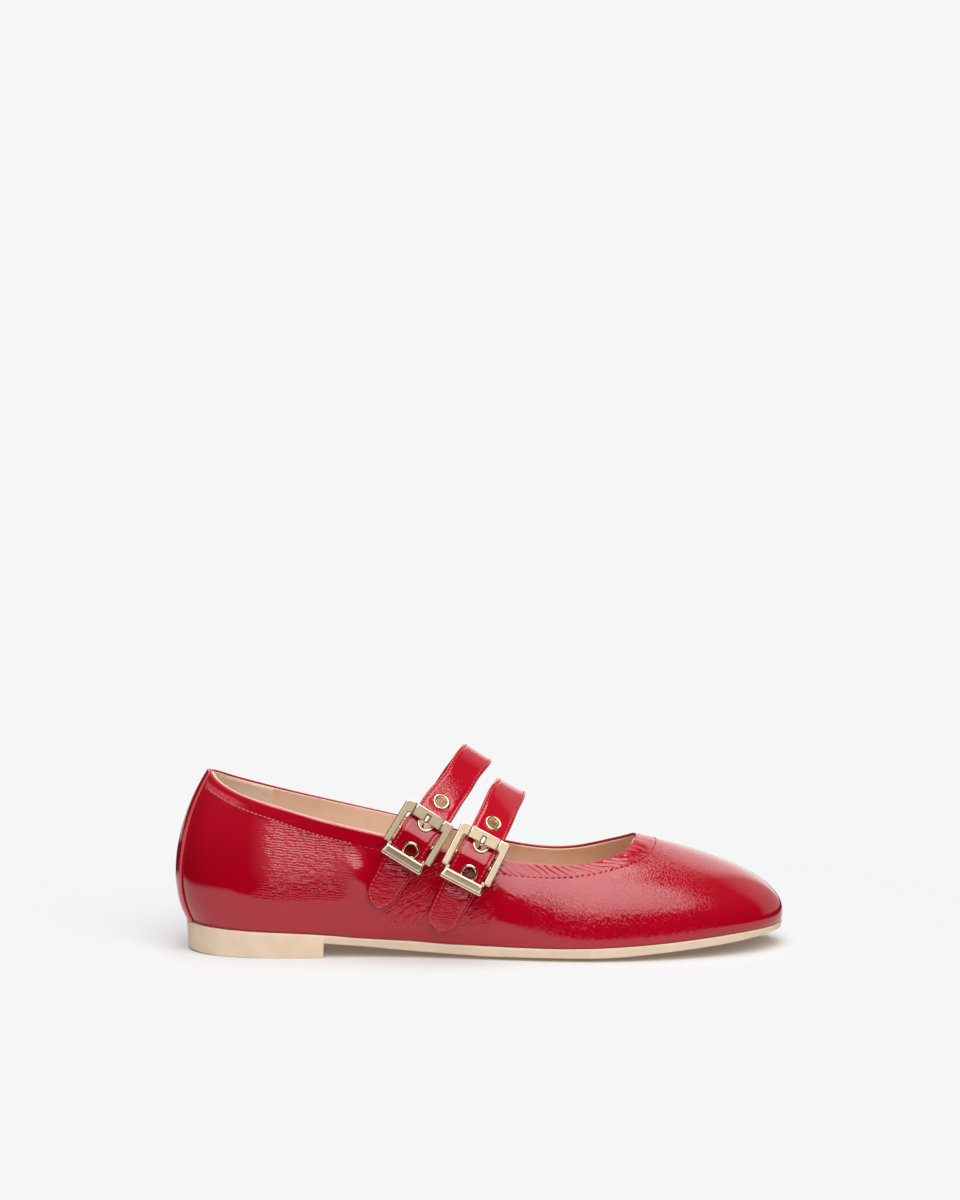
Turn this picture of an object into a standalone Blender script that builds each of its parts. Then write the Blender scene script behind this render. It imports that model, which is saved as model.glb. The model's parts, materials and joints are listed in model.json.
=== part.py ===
"""Ballet flat for the right foot: a moulded sole, a hollow leather upper and two straps with gold buckles.

The toe points along +X, the lateral side (with the buckles) faces -Y, and the floor is Z = 0. Sizes are in
millimetres and are turned into metres when a mesh is made.
"""

import math
from collections import namedtuple

import bmesh
import bpy
import numpy as np
from mathutils import Vector
from mathutils.bvhtree import BVHTree

MM = 0.001

# Driving sizes of the shoe.
LENGTH = 250.0
BALL_WIDTH = 81.0
BACK_HEIGHT = 72.3
INSTEP_HEIGHT = 79.0
HEEL_HEIGHT = 10.5
WALL = 1.8
GAP = 0.3

# Sole and insole. The underside is crowned: its rim stands a little off the floor all round the forefoot.
RIM_STEP = 1.2
BREAST_X = 61.0
SOLE_WALL_DRAFT = 0.5
SOLE_EDGE = 0.4
CROWN_RISE = 1.5
CROWN_WIDTH = 7.0
INSOLE_THICKNESS = 3.0

# Back strip over the heel seam.
BACK_STRIP_HALF = 8.0
BACK_STRIP_THICKNESS = 0.8

# Straps. Distances along a strap are from the outer edge of its buckle's top bar, and grow towards the tip.
STRAP_WIDTH = 14.6
STRAP_THICKNESS = 1.6
TIP_START = 26.0
TIP_END = 45.0
TIP_WIDTH = 13.0
TAIL_SWAY = 1.0
Eyelet = namedtuple("Eyelet", "along aside")
EYELETS = (Eyelet(-7.0, 0.0), Eyelet(4.9, 0.0), Eyelet(17.0, 1.0))
EYELET_INNER = 2.4
EYELET_BARREL = 2.7
EYELET_OUTER = 3.5
EYELET_CLINCH = 3.3
EYELET_PROUD = 0.3
EYELET_CROWN = 0.25

# Buckles. Each is a flat frame with a narrower keeper plate at the end towards the strap's tip. Heights are
# measured from the seat, which is the plane through the strap's middle where it passes under the frame.
FRAME_WIDTH = 21.9
FRAME_LENGTH = 23.4
TOP_BAR = 3.9
SIDE_BAR = 3.0
SIDE_LENGTH = 18.3
KEEPER_START = 18.9
KEEPER_TOP_WIDTH = 17.0
KEEPER_LIP_WIDTH = 19.2
FRAME_LOW = 1.75
FRAME_THICKNESS = 1.6
FRAME_BEVEL = 0.4
FRAME_CORNER = 1.6
WINDOW_CORNER = 0.7
PRONG_GROOVE_WIDTH = 2.0
PRONG_GROOVE_DEPTH = 1.0
BAR_PLACE = 11.0
BAR_DEPTH = -0.5
BAR_RADIUS = 0.7
LUG_HALF = 1.3
LUG_BELOW = 1.0
RIDGE_HEIGHT = 2.45
RIDGE_SLOPE = 0.3
RIDGE_ROUND = 1.2
BUCKLE_ENTRY = 0.6
PRONG_WIDTH = 1.2
PRONG_THICKNESS = 0.9
PRONG_CLEARANCE = 0.2

# Seat of each buckle: where its strap passes under the top bar and under the keeper, the bars' slant, and how
# far the strap stands off towards the toe under the top bar. It is back in the middle at SWAY_END.
Seat = namedtuple("Seat", "bar_x bar_y bar_z keeper_x keeper_y keeper_z slant sway")
SEATS = {
    "rear": Seat(102.9, -31.3, 57.2, 93.0, -35.0, 41.7, 29.2, 1.4),
    "front": Seat(125.2, -32.0, 48.4, 116.3, -37.4, 32.2, 26.3, 0.5),
}
SEAT_FLARE = -0.08
SWAY_END = 8.0

# Middle line of each strap from its medial end, inside the upper, over the instep and down to the buckle:
# x in percent of LENGTH, y in percent of BALL_WIDTH and z in percent of INSTEP_HEIGHT.
Turn = namedtuple("Turn", "x y z")
ARCHES = {
    "rear": [
        Turn(39.4, 28.4, 48.7), Turn(41.3, 30.6, 60.1), Turn(43.4, 31.0, 69.0), Turn(45.2, 29.6, 77.2),
        Turn(46.8, 25.9, 85.4), Turn(48.1, 20.4, 91.8), Turn(49.1, 13.0, 97.1), Turn(49.4, 2.5, 100.0),
        Turn(48.7, -7.4, 99.0), Turn(47.3, -16.0, 94.9), Turn(45.6, -24.5, 87.9), Turn(43.5, -31.2, 80.2),
    ],
    "front": [
        Turn(48.6, 27.9, 37.3), Turn(50.2, 29.4, 46.2), Turn(51.8, 29.5, 55.1), Turn(53.0, 27.3, 63.9),
        Turn(54.0, 22.2, 72.2), Turn(54.7, 14.2, 78.4), Turn(54.9, 3.7, 82.2), Turn(54.6, -7.4, 81.8),
        Turn(53.7, -17.3, 78.2), Turn(52.6, -25.9, 72.7), Turn(51.4, -33.3, 66.6),
    ],
}
# Direction across each strap at its crest, in degrees: down towards the toe, and inward towards the toe.
Crest = namedtuple("Crest", "slant turn")
CRESTS = {"rear": Crest(33.5, 9.0), "front": Crest(31.0, 21.7)}
CREST_PLACE = -42.0

COLUMNS_PER_SIDE = 40
WALL_ROWS = 10
RUNGS = 5
ROUND_STEPS = 16

# One row for each rib of the upper, from the back of the heel to the toe. The foot of a rib stands on the
# sole and its top is on the topline. Places along the shoe are percent of LENGTH, widths are percent of
# BALL_WIDTH and heights of the topline are percent of BACK_HEIGHT. "pull" and "rise" place the corner that
# the rib bends round, outward and upward of its foot, and "square" is how tightly it bends (2 is an ellipse).
Rib = namedtuple(
    "Rib", "foot_x foot_lat foot_med top_x top_lat top_med rim_lat rim_med pull_lat pull_med rise square"
)
RIBS = [
    Rib(2.5, 0.0, 0.0, 6.0, 0.0, 0.0, 101.0, 101.0, 15.7, 15.7, 24.5, 2.0),
    Rib(3.7, 14.2, 14.2, 6.8, 8.8, 8.8, 98.0, 99.8, 14.5, 14.5, 24.5, 2.0),
    Rib(6.4, 23.5, 23.5, 8.8, 15.2, 15.0, 93.6, 96.6, 12.5, 12.5, 24.5, 2.0),
    Rib(10.8, 30.4, 30.0, 12.4, 21.8, 21.2, 88.8, 91.8, 10.0, 10.0, 24.5, 2.0),
    Rib(16.8, 33.4, 32.4, 17.6, 27.2, 25.9, 83.6, 86.2, 8.2, 8.6, 24.0, 2.0),
    Rib(24.0, 33.7, 31.8, 23.6, 31.6, 29.1, 77.8, 80.6, 7.4, 8.6, 22.5, 2.0),
    Rib(32.0, 34.0, 29.8, 30.8, 34.8, 31.8, 71.8, 74.3, 7.0, 9.6, 20.0, 2.0),
    Rib(42.0, 36.6, 28.8, 40.4, 38.2, 33.9, 64.2, 66.1, 6.4, 10.4, 17.5, 2.0),
    Rib(52.0, 42.5, 34.0, 50.0, 38.2, 34.0, 57.4, 57.9, 5.0, 8.2, 16.5, 2.0),
    Rib(61.2, 47.9, 40.7, 58.8, 36.5, 31.6, 53.0, 52.3, 3.8, 5.4, 18.5, 2.05),
    Rib(69.2, 49.8, 44.9, 64.6, 33.9, 29.6, 51.7, 51.5, 3.0, 3.6, 20.5, 2.2),
    Rib(77.2, 47.5, 45.4, 68.8, 29.4, 26.9, 53.2, 53.8, 2.4, 2.6, 22.0, 2.4),
    Rib(84.4, 42.0, 41.5, 71.8, 23.2, 22.0, 55.6, 57.0, 2.2, 2.3, 21.4, 2.6),
    Rib(90.8, 33.1, 34.3, 73.8, 16.0, 16.5, 58.1, 59.6, 2.5, 2.6, 19.9, 2.8),
    Rib(95.8, 21.0, 25.3, 74.9, 9.3, 11.1, 60.6, 61.7, 3.0, 3.1, 18.9, 2.9),
    Rib(98.7, 7.2, 16.7, 75.4, 3.1, 7.2, 62.5, 62.7, 3.2, 3.2, 18.3, 3.0),
    Rib(99.4, -5.6, 5.6, 75.6, -2.5, 2.5, 63.1, 63.1, 3.3, 3.3, 18.3, 3.0),
]

# The sole along the shoe: the height of its rim and of its underside ahead of the heel. x is percent of
# LENGTH and height is percent of HEEL_HEIGHT.
Level = namedtuple("Level", "x height")
RIM = [
    Level(0.0, 118.1), Level(6.0, 107.6), Level(12.0, 101.9), Level(21.0, 93.3), Level(32.0, 74.3),
    Level(38.5, 66.8), Level(45.0, 57.2), Level(60.0, 49.5), Level(68.0, 53.3), Level(76.0, 61.8),
    Level(86.0, 77.6), Level(94.0, 88.6), Level(100.0, 91.5),
]
UNDERSIDE = [
    Level(24.0, 44.0), Level(30.0, 33.8), Level(38.0, 16.2), Level(46.0, 4.8), Level(51.0, 0.0),
    Level(60.0, 0.0), Level(66.0, 0.0), Level(71.0, 2.6), Level(76.0, 10.5), Level(82.0, 21.5),
    Level(90.0, 36.5), Level(96.0, 49.0), Level(100.0, 55.0),
]


def clear_scene():
    for obj in list(bpy.data.objects):
        bpy.data.objects.remove(obj, do_unlink=True)


def periodic_spline(knots, values, at):
    """Values of the smooth closed curve through values at knots. The last knot is the first one again."""
    steps = np.diff(knots)
    count = len(steps)
    matrix = np.zeros((count, count))
    right = np.zeros((count, values.shape[1]))
    for i in range(count):
        before, after = steps[i - 1], steps[i]
        matrix[i, i - 1] += before
        matrix[i, i] += 2.0 * (before + after)
        matrix[i, (i + 1) % count] += after
        rise_after = (values[(i + 1) % count] - values[i]) / after
        rise_before = (values[i] - values[i - 1]) / before
        right[i] = 6.0 * (rise_after - rise_before)
    bends = np.linalg.solve(matrix, right)
    span = knots[-1] - knots[0]
    place = knots[0] + np.mod(np.asarray(at) - knots[0], span)
    i = np.clip(np.searchsorted(knots, place, side="right") - 1, 0, count - 1)
    j = (i + 1) % count
    step = steps[i][:, None]
    a = (knots[i + 1] - place)[:, None] / step
    b = 1.0 - a
    curve = (a**3 - a) * bends[i] + (b**3 - b) * bends[j]
    return a * values[i] + b * values[j] + curve * step**2 / 6.0


def open_spline(levels, x):
    """Height at x of the smooth curve through Level rows, with no overshoot between rows."""
    places = np.array([row.x for row in levels]) * LENGTH / 100.0
    heights = np.array([row.height for row in levels]) * HEEL_HEIGHT / 100.0
    steps = np.diff(places)
    slopes = np.diff(heights) / steps
    tangents = np.zeros(len(places))
    tangents[0], tangents[-1] = slopes[0], slopes[-1]
    for i in range(1, len(places) - 1):
        if slopes[i - 1] * slopes[i] > 0.0:
            weight_a = 2.0 * steps[i] + steps[i - 1]
            weight_b = steps[i] + 2.0 * steps[i - 1]
            tangents[i] = (weight_a + weight_b) / (weight_a / slopes[i - 1] + weight_b / slopes[i])
    x = np.clip(np.asarray(x, float), places[0], places[-1])
    i = np.clip(np.searchsorted(places, x, side="right") - 1, 0, len(steps) - 1)
    t = (x - places[i]) / steps[i]
    return (
        heights[i] * (1 + 2 * t) * (1 - t) ** 2
        + heights[i + 1] * t**2 * (3 - 2 * t)
        + steps[i] * (tangents[i] * t * (1 - t) ** 2 - tangents[i + 1] * t**2 * (1 - t))
    )


def rib_knots():
    """Distance of each rib along the shoe's side, up the lateral side and back down the medial side."""
    lateral = np.array([(rib.foot_x * LENGTH, -rib.foot_lat * BALL_WIDTH) for rib in RIBS]) / 100.0
    medial = np.array([(rib.foot_x * LENGTH, rib.foot_med * BALL_WIDTH) for rib in RIBS]) / 100.0
    steps = [np.linalg.norm(np.diff(side, axis=0), axis=1) for side in (lateral, medial)]
    there = np.concatenate([[0.0], np.cumsum((steps[0] + steps[1]) / 2.0)])
    back = 2.0 * there[-1] - there[-2::-1]
    return np.concatenate([there, back])


def rib_values():
    """The table as one closed loop of rows: foot x y, top x y z, pull, rise and square."""
    def row(rib, side):
        across = BALL_WIDTH / 100.0 * (-1.0 if side == "lat" else 1.0)
        return (
            rib.foot_x * LENGTH / 100.0,
            getattr(rib, "foot_" + side) * across,
            rib.top_x * LENGTH / 100.0,
            getattr(rib, "top_" + side) * across,
            getattr(rib, "rim_" + side) * BACK_HEIGHT / 100.0,
            getattr(rib, "pull_" + side),
            rib.rise,
            rib.square,
        )
    return np.array([row(rib, "lat") for rib in RIBS] + [row(rib, "med") for rib in RIBS[-2:0:-1]])


KNOTS = rib_knots()
VALUES = rib_values()
HALF_ROUND = KNOTS[-1] / 2.0


def plan_loop(at):
    """Foot of the upper in plan, and its outward normal, at distances round the shoe."""
    step = 0.2
    here = periodic_spline(KNOTS, VALUES, at)[:, :2]
    ahead = periodic_spline(KNOTS, VALUES, np.asarray(at) + step)[:, :2]
    behind = periodic_spline(KNOTS, VALUES, np.asarray(at) - step)[:, :2]
    tangent = ahead - behind
    normal = np.stack([tangent[:, 1], -tangent[:, 0]], axis=1)
    return here, normal / np.linalg.norm(normal, axis=1)[:, None]


def rib_grid(at, heights):
    """Outer face of the upper: an array [height][place round the shoe][x y z]."""
    table = periodic_spline(KNOTS, VALUES, at)
    plan, normal = plan_loop(at)
    foot = np.column_stack([plan, open_spline(RIM, plan[:, 0]) + GAP])
    top = table[:, 2:5]
    pull, rise, square = table[:, 5:6], table[:, 6:7], table[:, 7:8]
    corner = foot + np.column_stack([normal * pull, rise])
    rows = []
    for t in heights:
        angle = t * math.pi / 2.0
        fall = max(math.cos(angle), 0.0) ** (2.0 / square)
        lift = max(math.sin(angle), 0.0) ** (2.0 / square)
        rows.append(foot + top - corner + (corner - top) * fall + (corner - foot) * lift)
    return np.array(rows)


def grid_normals(grid):
    """Outward unit normals of a grid that closes round the shoe."""
    around = np.roll(grid, -1, axis=1) - np.roll(grid, 1, axis=1)
    up = np.gradient(grid, axis=0)
    normal = np.cross(around, up)
    return normal / np.linalg.norm(normal, axis=2)[:, :, None]


def material(name, colour, roughness, metallic=0.0):
    made = bpy.data.materials.new(name)
    made.use_nodes = True
    shader = made.node_tree.nodes["Principled BSDF"]
    shader.inputs["Base Color"].default_value = (*colour, 1.0)
    shader.inputs["Roughness"].default_value = roughness
    shader.inputs["Metallic"].default_value = metallic
    return made


def new_object(name, points, faces, surface):
    """A mesh object from points in millimetres, with its normals made consistent and facing out."""
    mesh = bpy.data.meshes.new(name)
    mesh.from_pydata([tuple(MM * float(c) for c in point) for point in points], [], faces)
    work = bmesh.new()
    work.from_mesh(mesh)
    bmesh.ops.recalc_face_normals(work, faces=work.faces)
    work.to_mesh(mesh)
    work.free()
    mesh.materials.append(surface)
    mesh.shade_smooth()
    mesh.set_sharp_from_angle(angle=math.radians(35.0))
    obj = bpy.data.objects.new(name, mesh)
    bpy.context.scene.collection.objects.link(obj)
    return obj


def ring_wall(name, rings, surface):
    """A solid whose section is a closed chain of rings, the last of them joined to the first."""
    rings = np.asarray(rings)
    levels, count = rings.shape[:2]
    faces = []
    for level in range(levels):
        above = (level + 1) % levels
        for i in range(count):
            j = (i + 1) % count
            faces.append((level * count + i, level * count + j, above * count + j, above * count + i))
    return new_object(name, rings.reshape(-1, 3), faces, surface)


def rung_cap(ring_start, half, rungs, points, faces, height):
    """Closes a ring with rungs from the lateral to the medial side; height(x) shapes the points between."""
    count = 2 * half
    rows = []
    for j in range(1, half):
        lateral, medial = ring_start + j, ring_start + count - j
        row = [lateral]
        for k in range(1, rungs):
            share = k / rungs
            x, y, _ = np.asarray(points[lateral]) * (1 - share) + np.asarray(points[medial]) * share
            points.append((x, y, height(x)))
            row.append(len(points) - 1)
        row.append(medial)
        rows.append(row)
    for here, ahead in zip(rows, rows[1:]):
        for k in range(rungs):
            faces.append((here[k], ahead[k], ahead[k + 1], here[k + 1]))
    for k in range(rungs):
        faces.append((ring_start, rows[0][k], rows[0][k + 1]))
        faces.append((ring_start + half, rows[-1][k + 1], rows[-1][k]))


def capped_body(name, rings, rungs, top_height, bottom_height, surface):
    """A solid with side rings from top to bottom, closed above and below by rungs."""
    rings = np.asarray(rings)
    levels, count = rings.shape[:2]
    points = [tuple(point) for point in rings.reshape(-1, 3)]
    faces = []
    for level in range(levels - 1):
        here, above = level * count, (level + 1) * count
        for i in range(count):
            j = (i + 1) % count
            faces.append((here + i, here + j, above + j, above + i))
    rung_cap(0, count // 2, rungs, points, faces, top_height)
    rung_cap((levels - 1) * count, count // 2, rungs, points, faces, bottom_height)
    return new_object(name, points, faces, surface)


def both_sides(places):
    """Distances round the whole shoe from places along one side."""
    places = np.asarray(places)
    return np.concatenate([places, 2.0 * HALF_ROUND - places[-2:0:-1]])


def place_of_x(x):
    """Distance round the lateral side at which the foot of the upper is at x."""
    dense = np.linspace(0.0, HALF_ROUND, 1200)
    return float(np.interp(x, plan_loop(dense)[0][:, 0], dense))


def make_upper(surface):
    at = both_sides(np.linspace(0.0, HALF_ROUND, COLUMNS_PER_SIDE + 1))
    outer = rib_grid(at, np.linspace(0.0, 1.0, WALL_ROWS + 1))
    inner = outer - grid_normals(outer) * WALL
    inner[0, :, 2] = outer[0, :, 2]
    return ring_wall("upper", np.concatenate([outer, inner[::-1]]), surface)


def make_outsole(surface):
    breast = place_of_x(BREAST_X)
    step = HALF_ROUND / COLUMNS_PER_SIDE
    even = np.linspace(0.0, HALF_ROUND, COLUMNS_PER_SIDE + 1)
    side = [place for place in even if abs(place - breast) > 0.6 * step]
    side = sorted(side + [breast - 0.1, breast + 0.1])
    at = both_sides(side)
    plan, normal = plan_loop(at)
    rim = plan + normal * RIM_STEP
    under_heel = plan[:, 0] < BREAST_X
    high = open_spline(RIM, plan[:, 0])
    low = np.where(under_heel, 0.0, open_spline(UNDERSIDE, plan[:, 0]))
    rise = np.where(under_heel, 0.0, CROWN_RISE)

    def ring(inset, z):
        return np.column_stack([rim - normal * inset, z])

    rings = [
        ring(0.5, high),
        ring(0.0, high - 0.5),
        ring(SOLE_WALL_DRAFT, low + rise + SOLE_EDGE),
        ring(SOLE_WALL_DRAFT + SOLE_EDGE, low + rise),
        ring(SOLE_WALL_DRAFT + CROWN_WIDTH, low),
    ]
    return capped_body(
        "outsole", rings, RUNGS,
        lambda x: float(open_spline(RIM, x)),
        lambda x: 0.0 if x < BREAST_X else float(open_spline(UNDERSIDE, x)),
        surface,
    )


def make_insole(surface):
    at = both_sides(np.linspace(0.0, HALF_ROUND, COLUMNS_PER_SIDE - 9))
    plan, normal = plan_loop(at)
    base = open_spline(RIM, plan[:, 0]) + GAP
    inset = WALL + GAP

    def ring(inset, z):
        return np.column_stack([plan - normal * inset, z])

    rings = [
        ring(inset + 0.6, base + INSOLE_THICKNESS),
        ring(inset, base + INSOLE_THICKNESS - 0.6),
        ring(inset, base),
    ]
    return capped_body(
        "insole", rings, RUNGS,
        lambda x: float(open_spline(RIM, x)) + GAP + INSOLE_THICKNESS,
        lambda x: float(open_spline(RIM, x)) + GAP,
        surface,
    )


def make_back_strip(surface):
    """A strip that follows the back of the upper, from the sole to the topline."""
    at = np.linspace(-BACK_STRIP_HALF, BACK_STRIP_HALF, 9)
    heights = np.linspace(0.0, 1.0, WALL_ROWS + 1)
    margin = 2.0
    wide = np.concatenate([[at[0] - margin], at, [at[-1] + margin]])
    grid = rib_grid(wide, heights)
    normal = np.cross(np.gradient(grid, axis=1), np.gradient(grid, axis=0))
    normal /= np.linalg.norm(normal, axis=2)[:, :, None]
    grid, normal = grid[:, 1:-1], normal[:, 1:-1]
    inner = grid + normal * GAP
    outer = grid + normal * (GAP + BACK_STRIP_THICKNESS)
    for face in (inner, outer):
        face[0, :, 2] = open_spline(RIM, face[0, :, 0]) + GAP
    rows, columns = grid.shape[:2]
    points = np.concatenate([inner.reshape(-1, 3), outer.reshape(-1, 3)])
    layer = rows * columns
    faces = []
    for row in range(rows - 1):
        for i in range(columns - 1):
            near = row * columns + i
            quad = [near, near + 1, near + columns + 1, near + columns]
            faces.append(quad)
            faces.append([layer + index for index in quad])
    edge = [(row * columns, (row + 1) * columns) for row in range(rows - 1)]
    edge += [(row * columns + columns - 1, (row + 1) * columns + columns - 1) for row in range(rows - 1)]
    edge += [(i, i + 1) for i in range(columns - 1)]
    edge += [((rows - 1) * columns + i, (rows - 1) * columns + i + 1) for i in range(columns - 1)]
    faces += [(a, b, layer + b, layer + a) for a, b in edge]
    new_object("back_strip", points, faces, surface)


def natural_spline(points, samples):
    """Evenly spaced points on the smooth open curve through the given points."""
    points = np.asarray(points, float)
    knots = np.concatenate([[0.0], np.cumsum(np.linalg.norm(np.diff(points, axis=0), axis=1))])
    count = len(points)
    steps = np.diff(knots)
    matrix = np.eye(count)
    right = np.zeros((count, 3))
    for i in range(1, count - 1):
        matrix[i, i - 1 : i + 2] = steps[i - 1], 2.0 * (steps[i - 1] + steps[i]), steps[i]
        ahead, behind = (points[i + 1] - points[i]) / steps[i], (points[i] - points[i - 1]) / steps[i - 1]
        right[i] = 6.0 * (ahead - behind)
    bends = np.linalg.solve(matrix, right)
    dense = np.linspace(0.0, knots[-1], samples)
    i = np.clip(np.searchsorted(knots, dense, side="right") - 1, 0, count - 2)
    step = steps[i][:, None]
    a = (knots[i + 1] - dense)[:, None] / step
    b = 1.0 - a
    curve = (a**3 - a) * bends[i] + (b**3 - b) * bends[i + 1]
    return a * points[i] + b * points[i + 1] + curve * step**2 / 6.0


def unit(vector):
    return vector / np.linalg.norm(vector)


class Quarter:
    """The outer and inner faces of the upper, as surfaces that straps and tabs can be laid on."""

    def __init__(self):
        at = both_sides(np.linspace(0.0, HALF_ROUND, 121))
        outer = rib_grid(at, np.linspace(0.0, 1.0, 25))
        lean = outer[-1] - outer[-2]
        lean /= np.linalg.norm(lean, axis=1)[:, None]
        grown = np.concatenate([outer, (outer[-1] + 6.0 * lean)[None], (outer[-1] + 12.0 * lean)[None]])
        rows, columns = grown.shape[:2]
        faces = [
            (row * columns + i, row * columns + (i + 1) % columns,
             (row + 1) * columns + (i + 1) % columns, (row + 1) * columns + i)
            for row in range(rows - 1) for i in range(columns)
        ]
        self.tree = BVHTree.FromPolygons([Vector(point) for point in grown.reshape(-1, 3)], faces)

    def lay(self, point, offset):
        """The point moved across the shoe until it is offset outside the outer face, or inside it."""
        side = -1.0 if point[1] < 0.0 else 1.0
        start = Vector((point[0], side * 2.0 * BALL_WIDTH, point[2]))
        hit, normal, _, _ = self.tree.ray_cast(start, Vector((0.0, -side, 0.0)))
        if hit is None:
            return point
        slope = max(abs(normal.y), 0.5)
        return np.array((point[0], hit.y + side * offset / slope, point[2]))


class BuckleSeat:
    """A buckle's own axes: u across the strap, v down the strap from the top bar's outer edge, w outward."""

    def __init__(self, seat):
        bar = np.array((seat.bar_x, seat.bar_y, seat.bar_z))
        keeper = np.array((seat.keeper_x, seat.keeper_y, seat.keeper_z))
        slant = math.radians(seat.slant)
        self.v = unit(keeper - bar)
        across = np.array((math.cos(slant), SEAT_FLARE, -math.sin(slant)))
        self.u = unit(across - across.dot(self.v) * self.v)
        self.w = np.cross(self.u, self.v)
        if self.w[1] > 0.0:
            self.w = -self.w
        self.origin = bar - self.v * TOP_BAR / 2.0
        self.sway = seat.sway

    def aside(self, v):
        """How far the middle of the strap stands towards the toe at a distance under the frame."""
        share = min(v / SWAY_END, 1.0)
        return self.sway * (1.0 - share * share * (3.0 - 2.0 * share))

    def point(self, u, v, w):
        return self.origin + u * self.u + v * self.v + w * self.w


def strap_height(v):
    """Height of the strap's middle over the seat: it rises to a soft ridge over the bar and falls again."""
    return RIDGE_HEIGHT - RIDGE_SLOPE * math.hypot(v - BAR_PLACE, RIDGE_ROUND)


class Strap:
    """The middle line of a strap, with the directions across it and out of it, measured from its buckle."""

    SAMPLES = 1200

    def __init__(self, name, quarter):
        self.seat = BuckleSeat(SEATS[name])
        self.quarter = quarter
        sizes = np.array((LENGTH, BALL_WIDTH, INSTEP_HEIGHT)) / 100.0
        arch = [np.array(turn) * sizes for turn in ARCHES[name]]
        in_buckle = np.linspace(BUCKLE_ENTRY, KEEPER_START + 0.5, 10)
        held = [self.seat.point(self.seat.aside(v), v, strap_height(v)) for v in in_buckle]
        tail = []
        for v in (23.0, 27.0, 32.0, 37.0, 41.0, TIP_END):
            sway = TAIL_SWAY * (v - KEEPER_START) / (TIP_END - KEEPER_START)
            tail.append(quarter.lay(self.seat.point(sway, v, 0.0), GAP + STRAP_THICKNESS / 2.0))
        self.path = natural_spline(arch + held + tail, self.SAMPLES)
        travelled = np.concatenate([[0.0], np.cumsum(np.linalg.norm(np.diff(self.path, axis=0), axis=1))])
        bar = np.argmin(np.linalg.norm(self.path - held[0], axis=1))
        self.length = travelled - travelled[bar] + BUCKLE_ENTRY
        tangent = np.gradient(self.path, axis=0)
        self.tangent = tangent / np.linalg.norm(tangent, axis=1)[:, None]
        slant = math.radians(CRESTS[name].slant)
        share = np.clip((self.length - self.length[0]) / (CREST_PLACE - self.length[0]), 0.0, 1.0)
        turn = math.radians(CRESTS[name].turn) * share * share * (3.0 - 2.0 * share)
        flat = np.cos(turn)
        ridge = np.stack([math.cos(slant) * flat, np.sin(turn), -math.sin(slant) * flat], axis=1)
        blend = np.clip((self.length + 30.0) / 30.0, 0.0, 1.0)[:, None]
        blend = blend * blend * (3.0 - 2.0 * blend)
        across = ridge * (1.0 - blend) + self.seat.u * blend
        across -= np.sum(across * self.tangent, axis=1)[:, None] * self.tangent
        self.across = across / np.linalg.norm(across, axis=1)[:, None]
        self.outward = np.cross(self.across, self.tangent)
        self.outward *= np.sign(self.outward[bar][1]) * -1.0

    def at(self, distance, aside=0.0):
        """Point, tangent, across and outward at a distance along the strap and to one side of its middle."""
        found = []
        for values in (self.path, self.tangent, self.across, self.outward):
            found.append(np.array([np.interp(distance, self.length, values[:, axis]) for axis in range(3)]))
        return found[0] + aside * unit(found[2]), unit(found[1]), unit(found[2]), unit(found[3])

    def half_width(self, distance):
        half = STRAP_WIDTH / 2.0
        if distance <= TIP_START:
            return half
        round_start = TIP_END - TIP_WIDTH / 2.0
        share = min((distance - TIP_START) / (round_start - TIP_START), 1.0)
        half += (TIP_WIDTH / 2.0 - half) * share
        if distance > round_start:
            half *= math.sqrt(max(1.0 - ((distance - round_start) / (TIP_END - round_start)) ** 2, 0.01))
        return half


SECTION = ((-1.0, 0.4), (-0.95, 1.0), (-0.4, 1.0), (0.4, 1.0), (0.95, 1.0), (1.0, 0.4),
           (1.0, -0.4), (0.95, -1.0), (0.4, -1.0), (-0.4, -1.0), (-0.95, -1.0), (-1.0, -0.4))


def make_strap(name, strap, surface):
    """The strap as one band, with its tail laid on the quarter and holes for its eyelets."""
    places = list(np.linspace(strap.length[0], -4.0, 18)) + list(np.arange(-2.4, TIP_START, 2.2))
    places += list(np.linspace(TIP_START, TIP_END - TIP_WIDTH / 2.0, 5))
    places += [TIP_END - TIP_WIDTH / 2.0 * (1.0 - math.sin(angle)) for angle in (0.4, 0.8, 1.15, 1.4)]
    points = []
    for place in places:
        middle, _, across, outward = strap.at(place)
        half = strap.half_width(place)
        for share, level in SECTION:
            on_band = middle + across * half * share
            if place > FRAME_LENGTH - 1.0:
                reach = (middle - strap.quarter.lay(middle, 0.0)).dot(outward)
                on_band = strap.quarter.lay(on_band, reach)
            elif place < strap.length[0] + 10.0:
                limit = strap.quarter.lay(on_band, -(WALL + GAP + STRAP_THICKNESS / 2.0))
                on_band = limit if abs(limit[1]) < abs(on_band[1]) else on_band
            points.append(on_band + outward * level * STRAP_THICKNESS / 2.0)
    count = len(SECTION)
    faces = [tuple(range(count)), tuple(range(len(points) - count, len(points)))]
    for here in range(0, len(points) - count, count):
        for i in range(count):
            j = (i + 1) % count
            faces.append((here + i, here + j, here + count + j, here + count + i))
    band = new_object("strap_" + name, points, faces, surface)
    reach, hole = 2.5 * STRAP_THICKNESS, EYELET_BARREL + GAP
    plug = [(0.0, -reach), (hole, -reach), (hole, reach), (0.0, reach)]
    for number, eyelet in enumerate(EYELETS, 1):
        cutter = turned("hole_%s_%d" % (name, number), plug, strap.at(eyelet.along, eyelet.aside), surface)
        combine(band, cutter, "DIFFERENCE")


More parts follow.
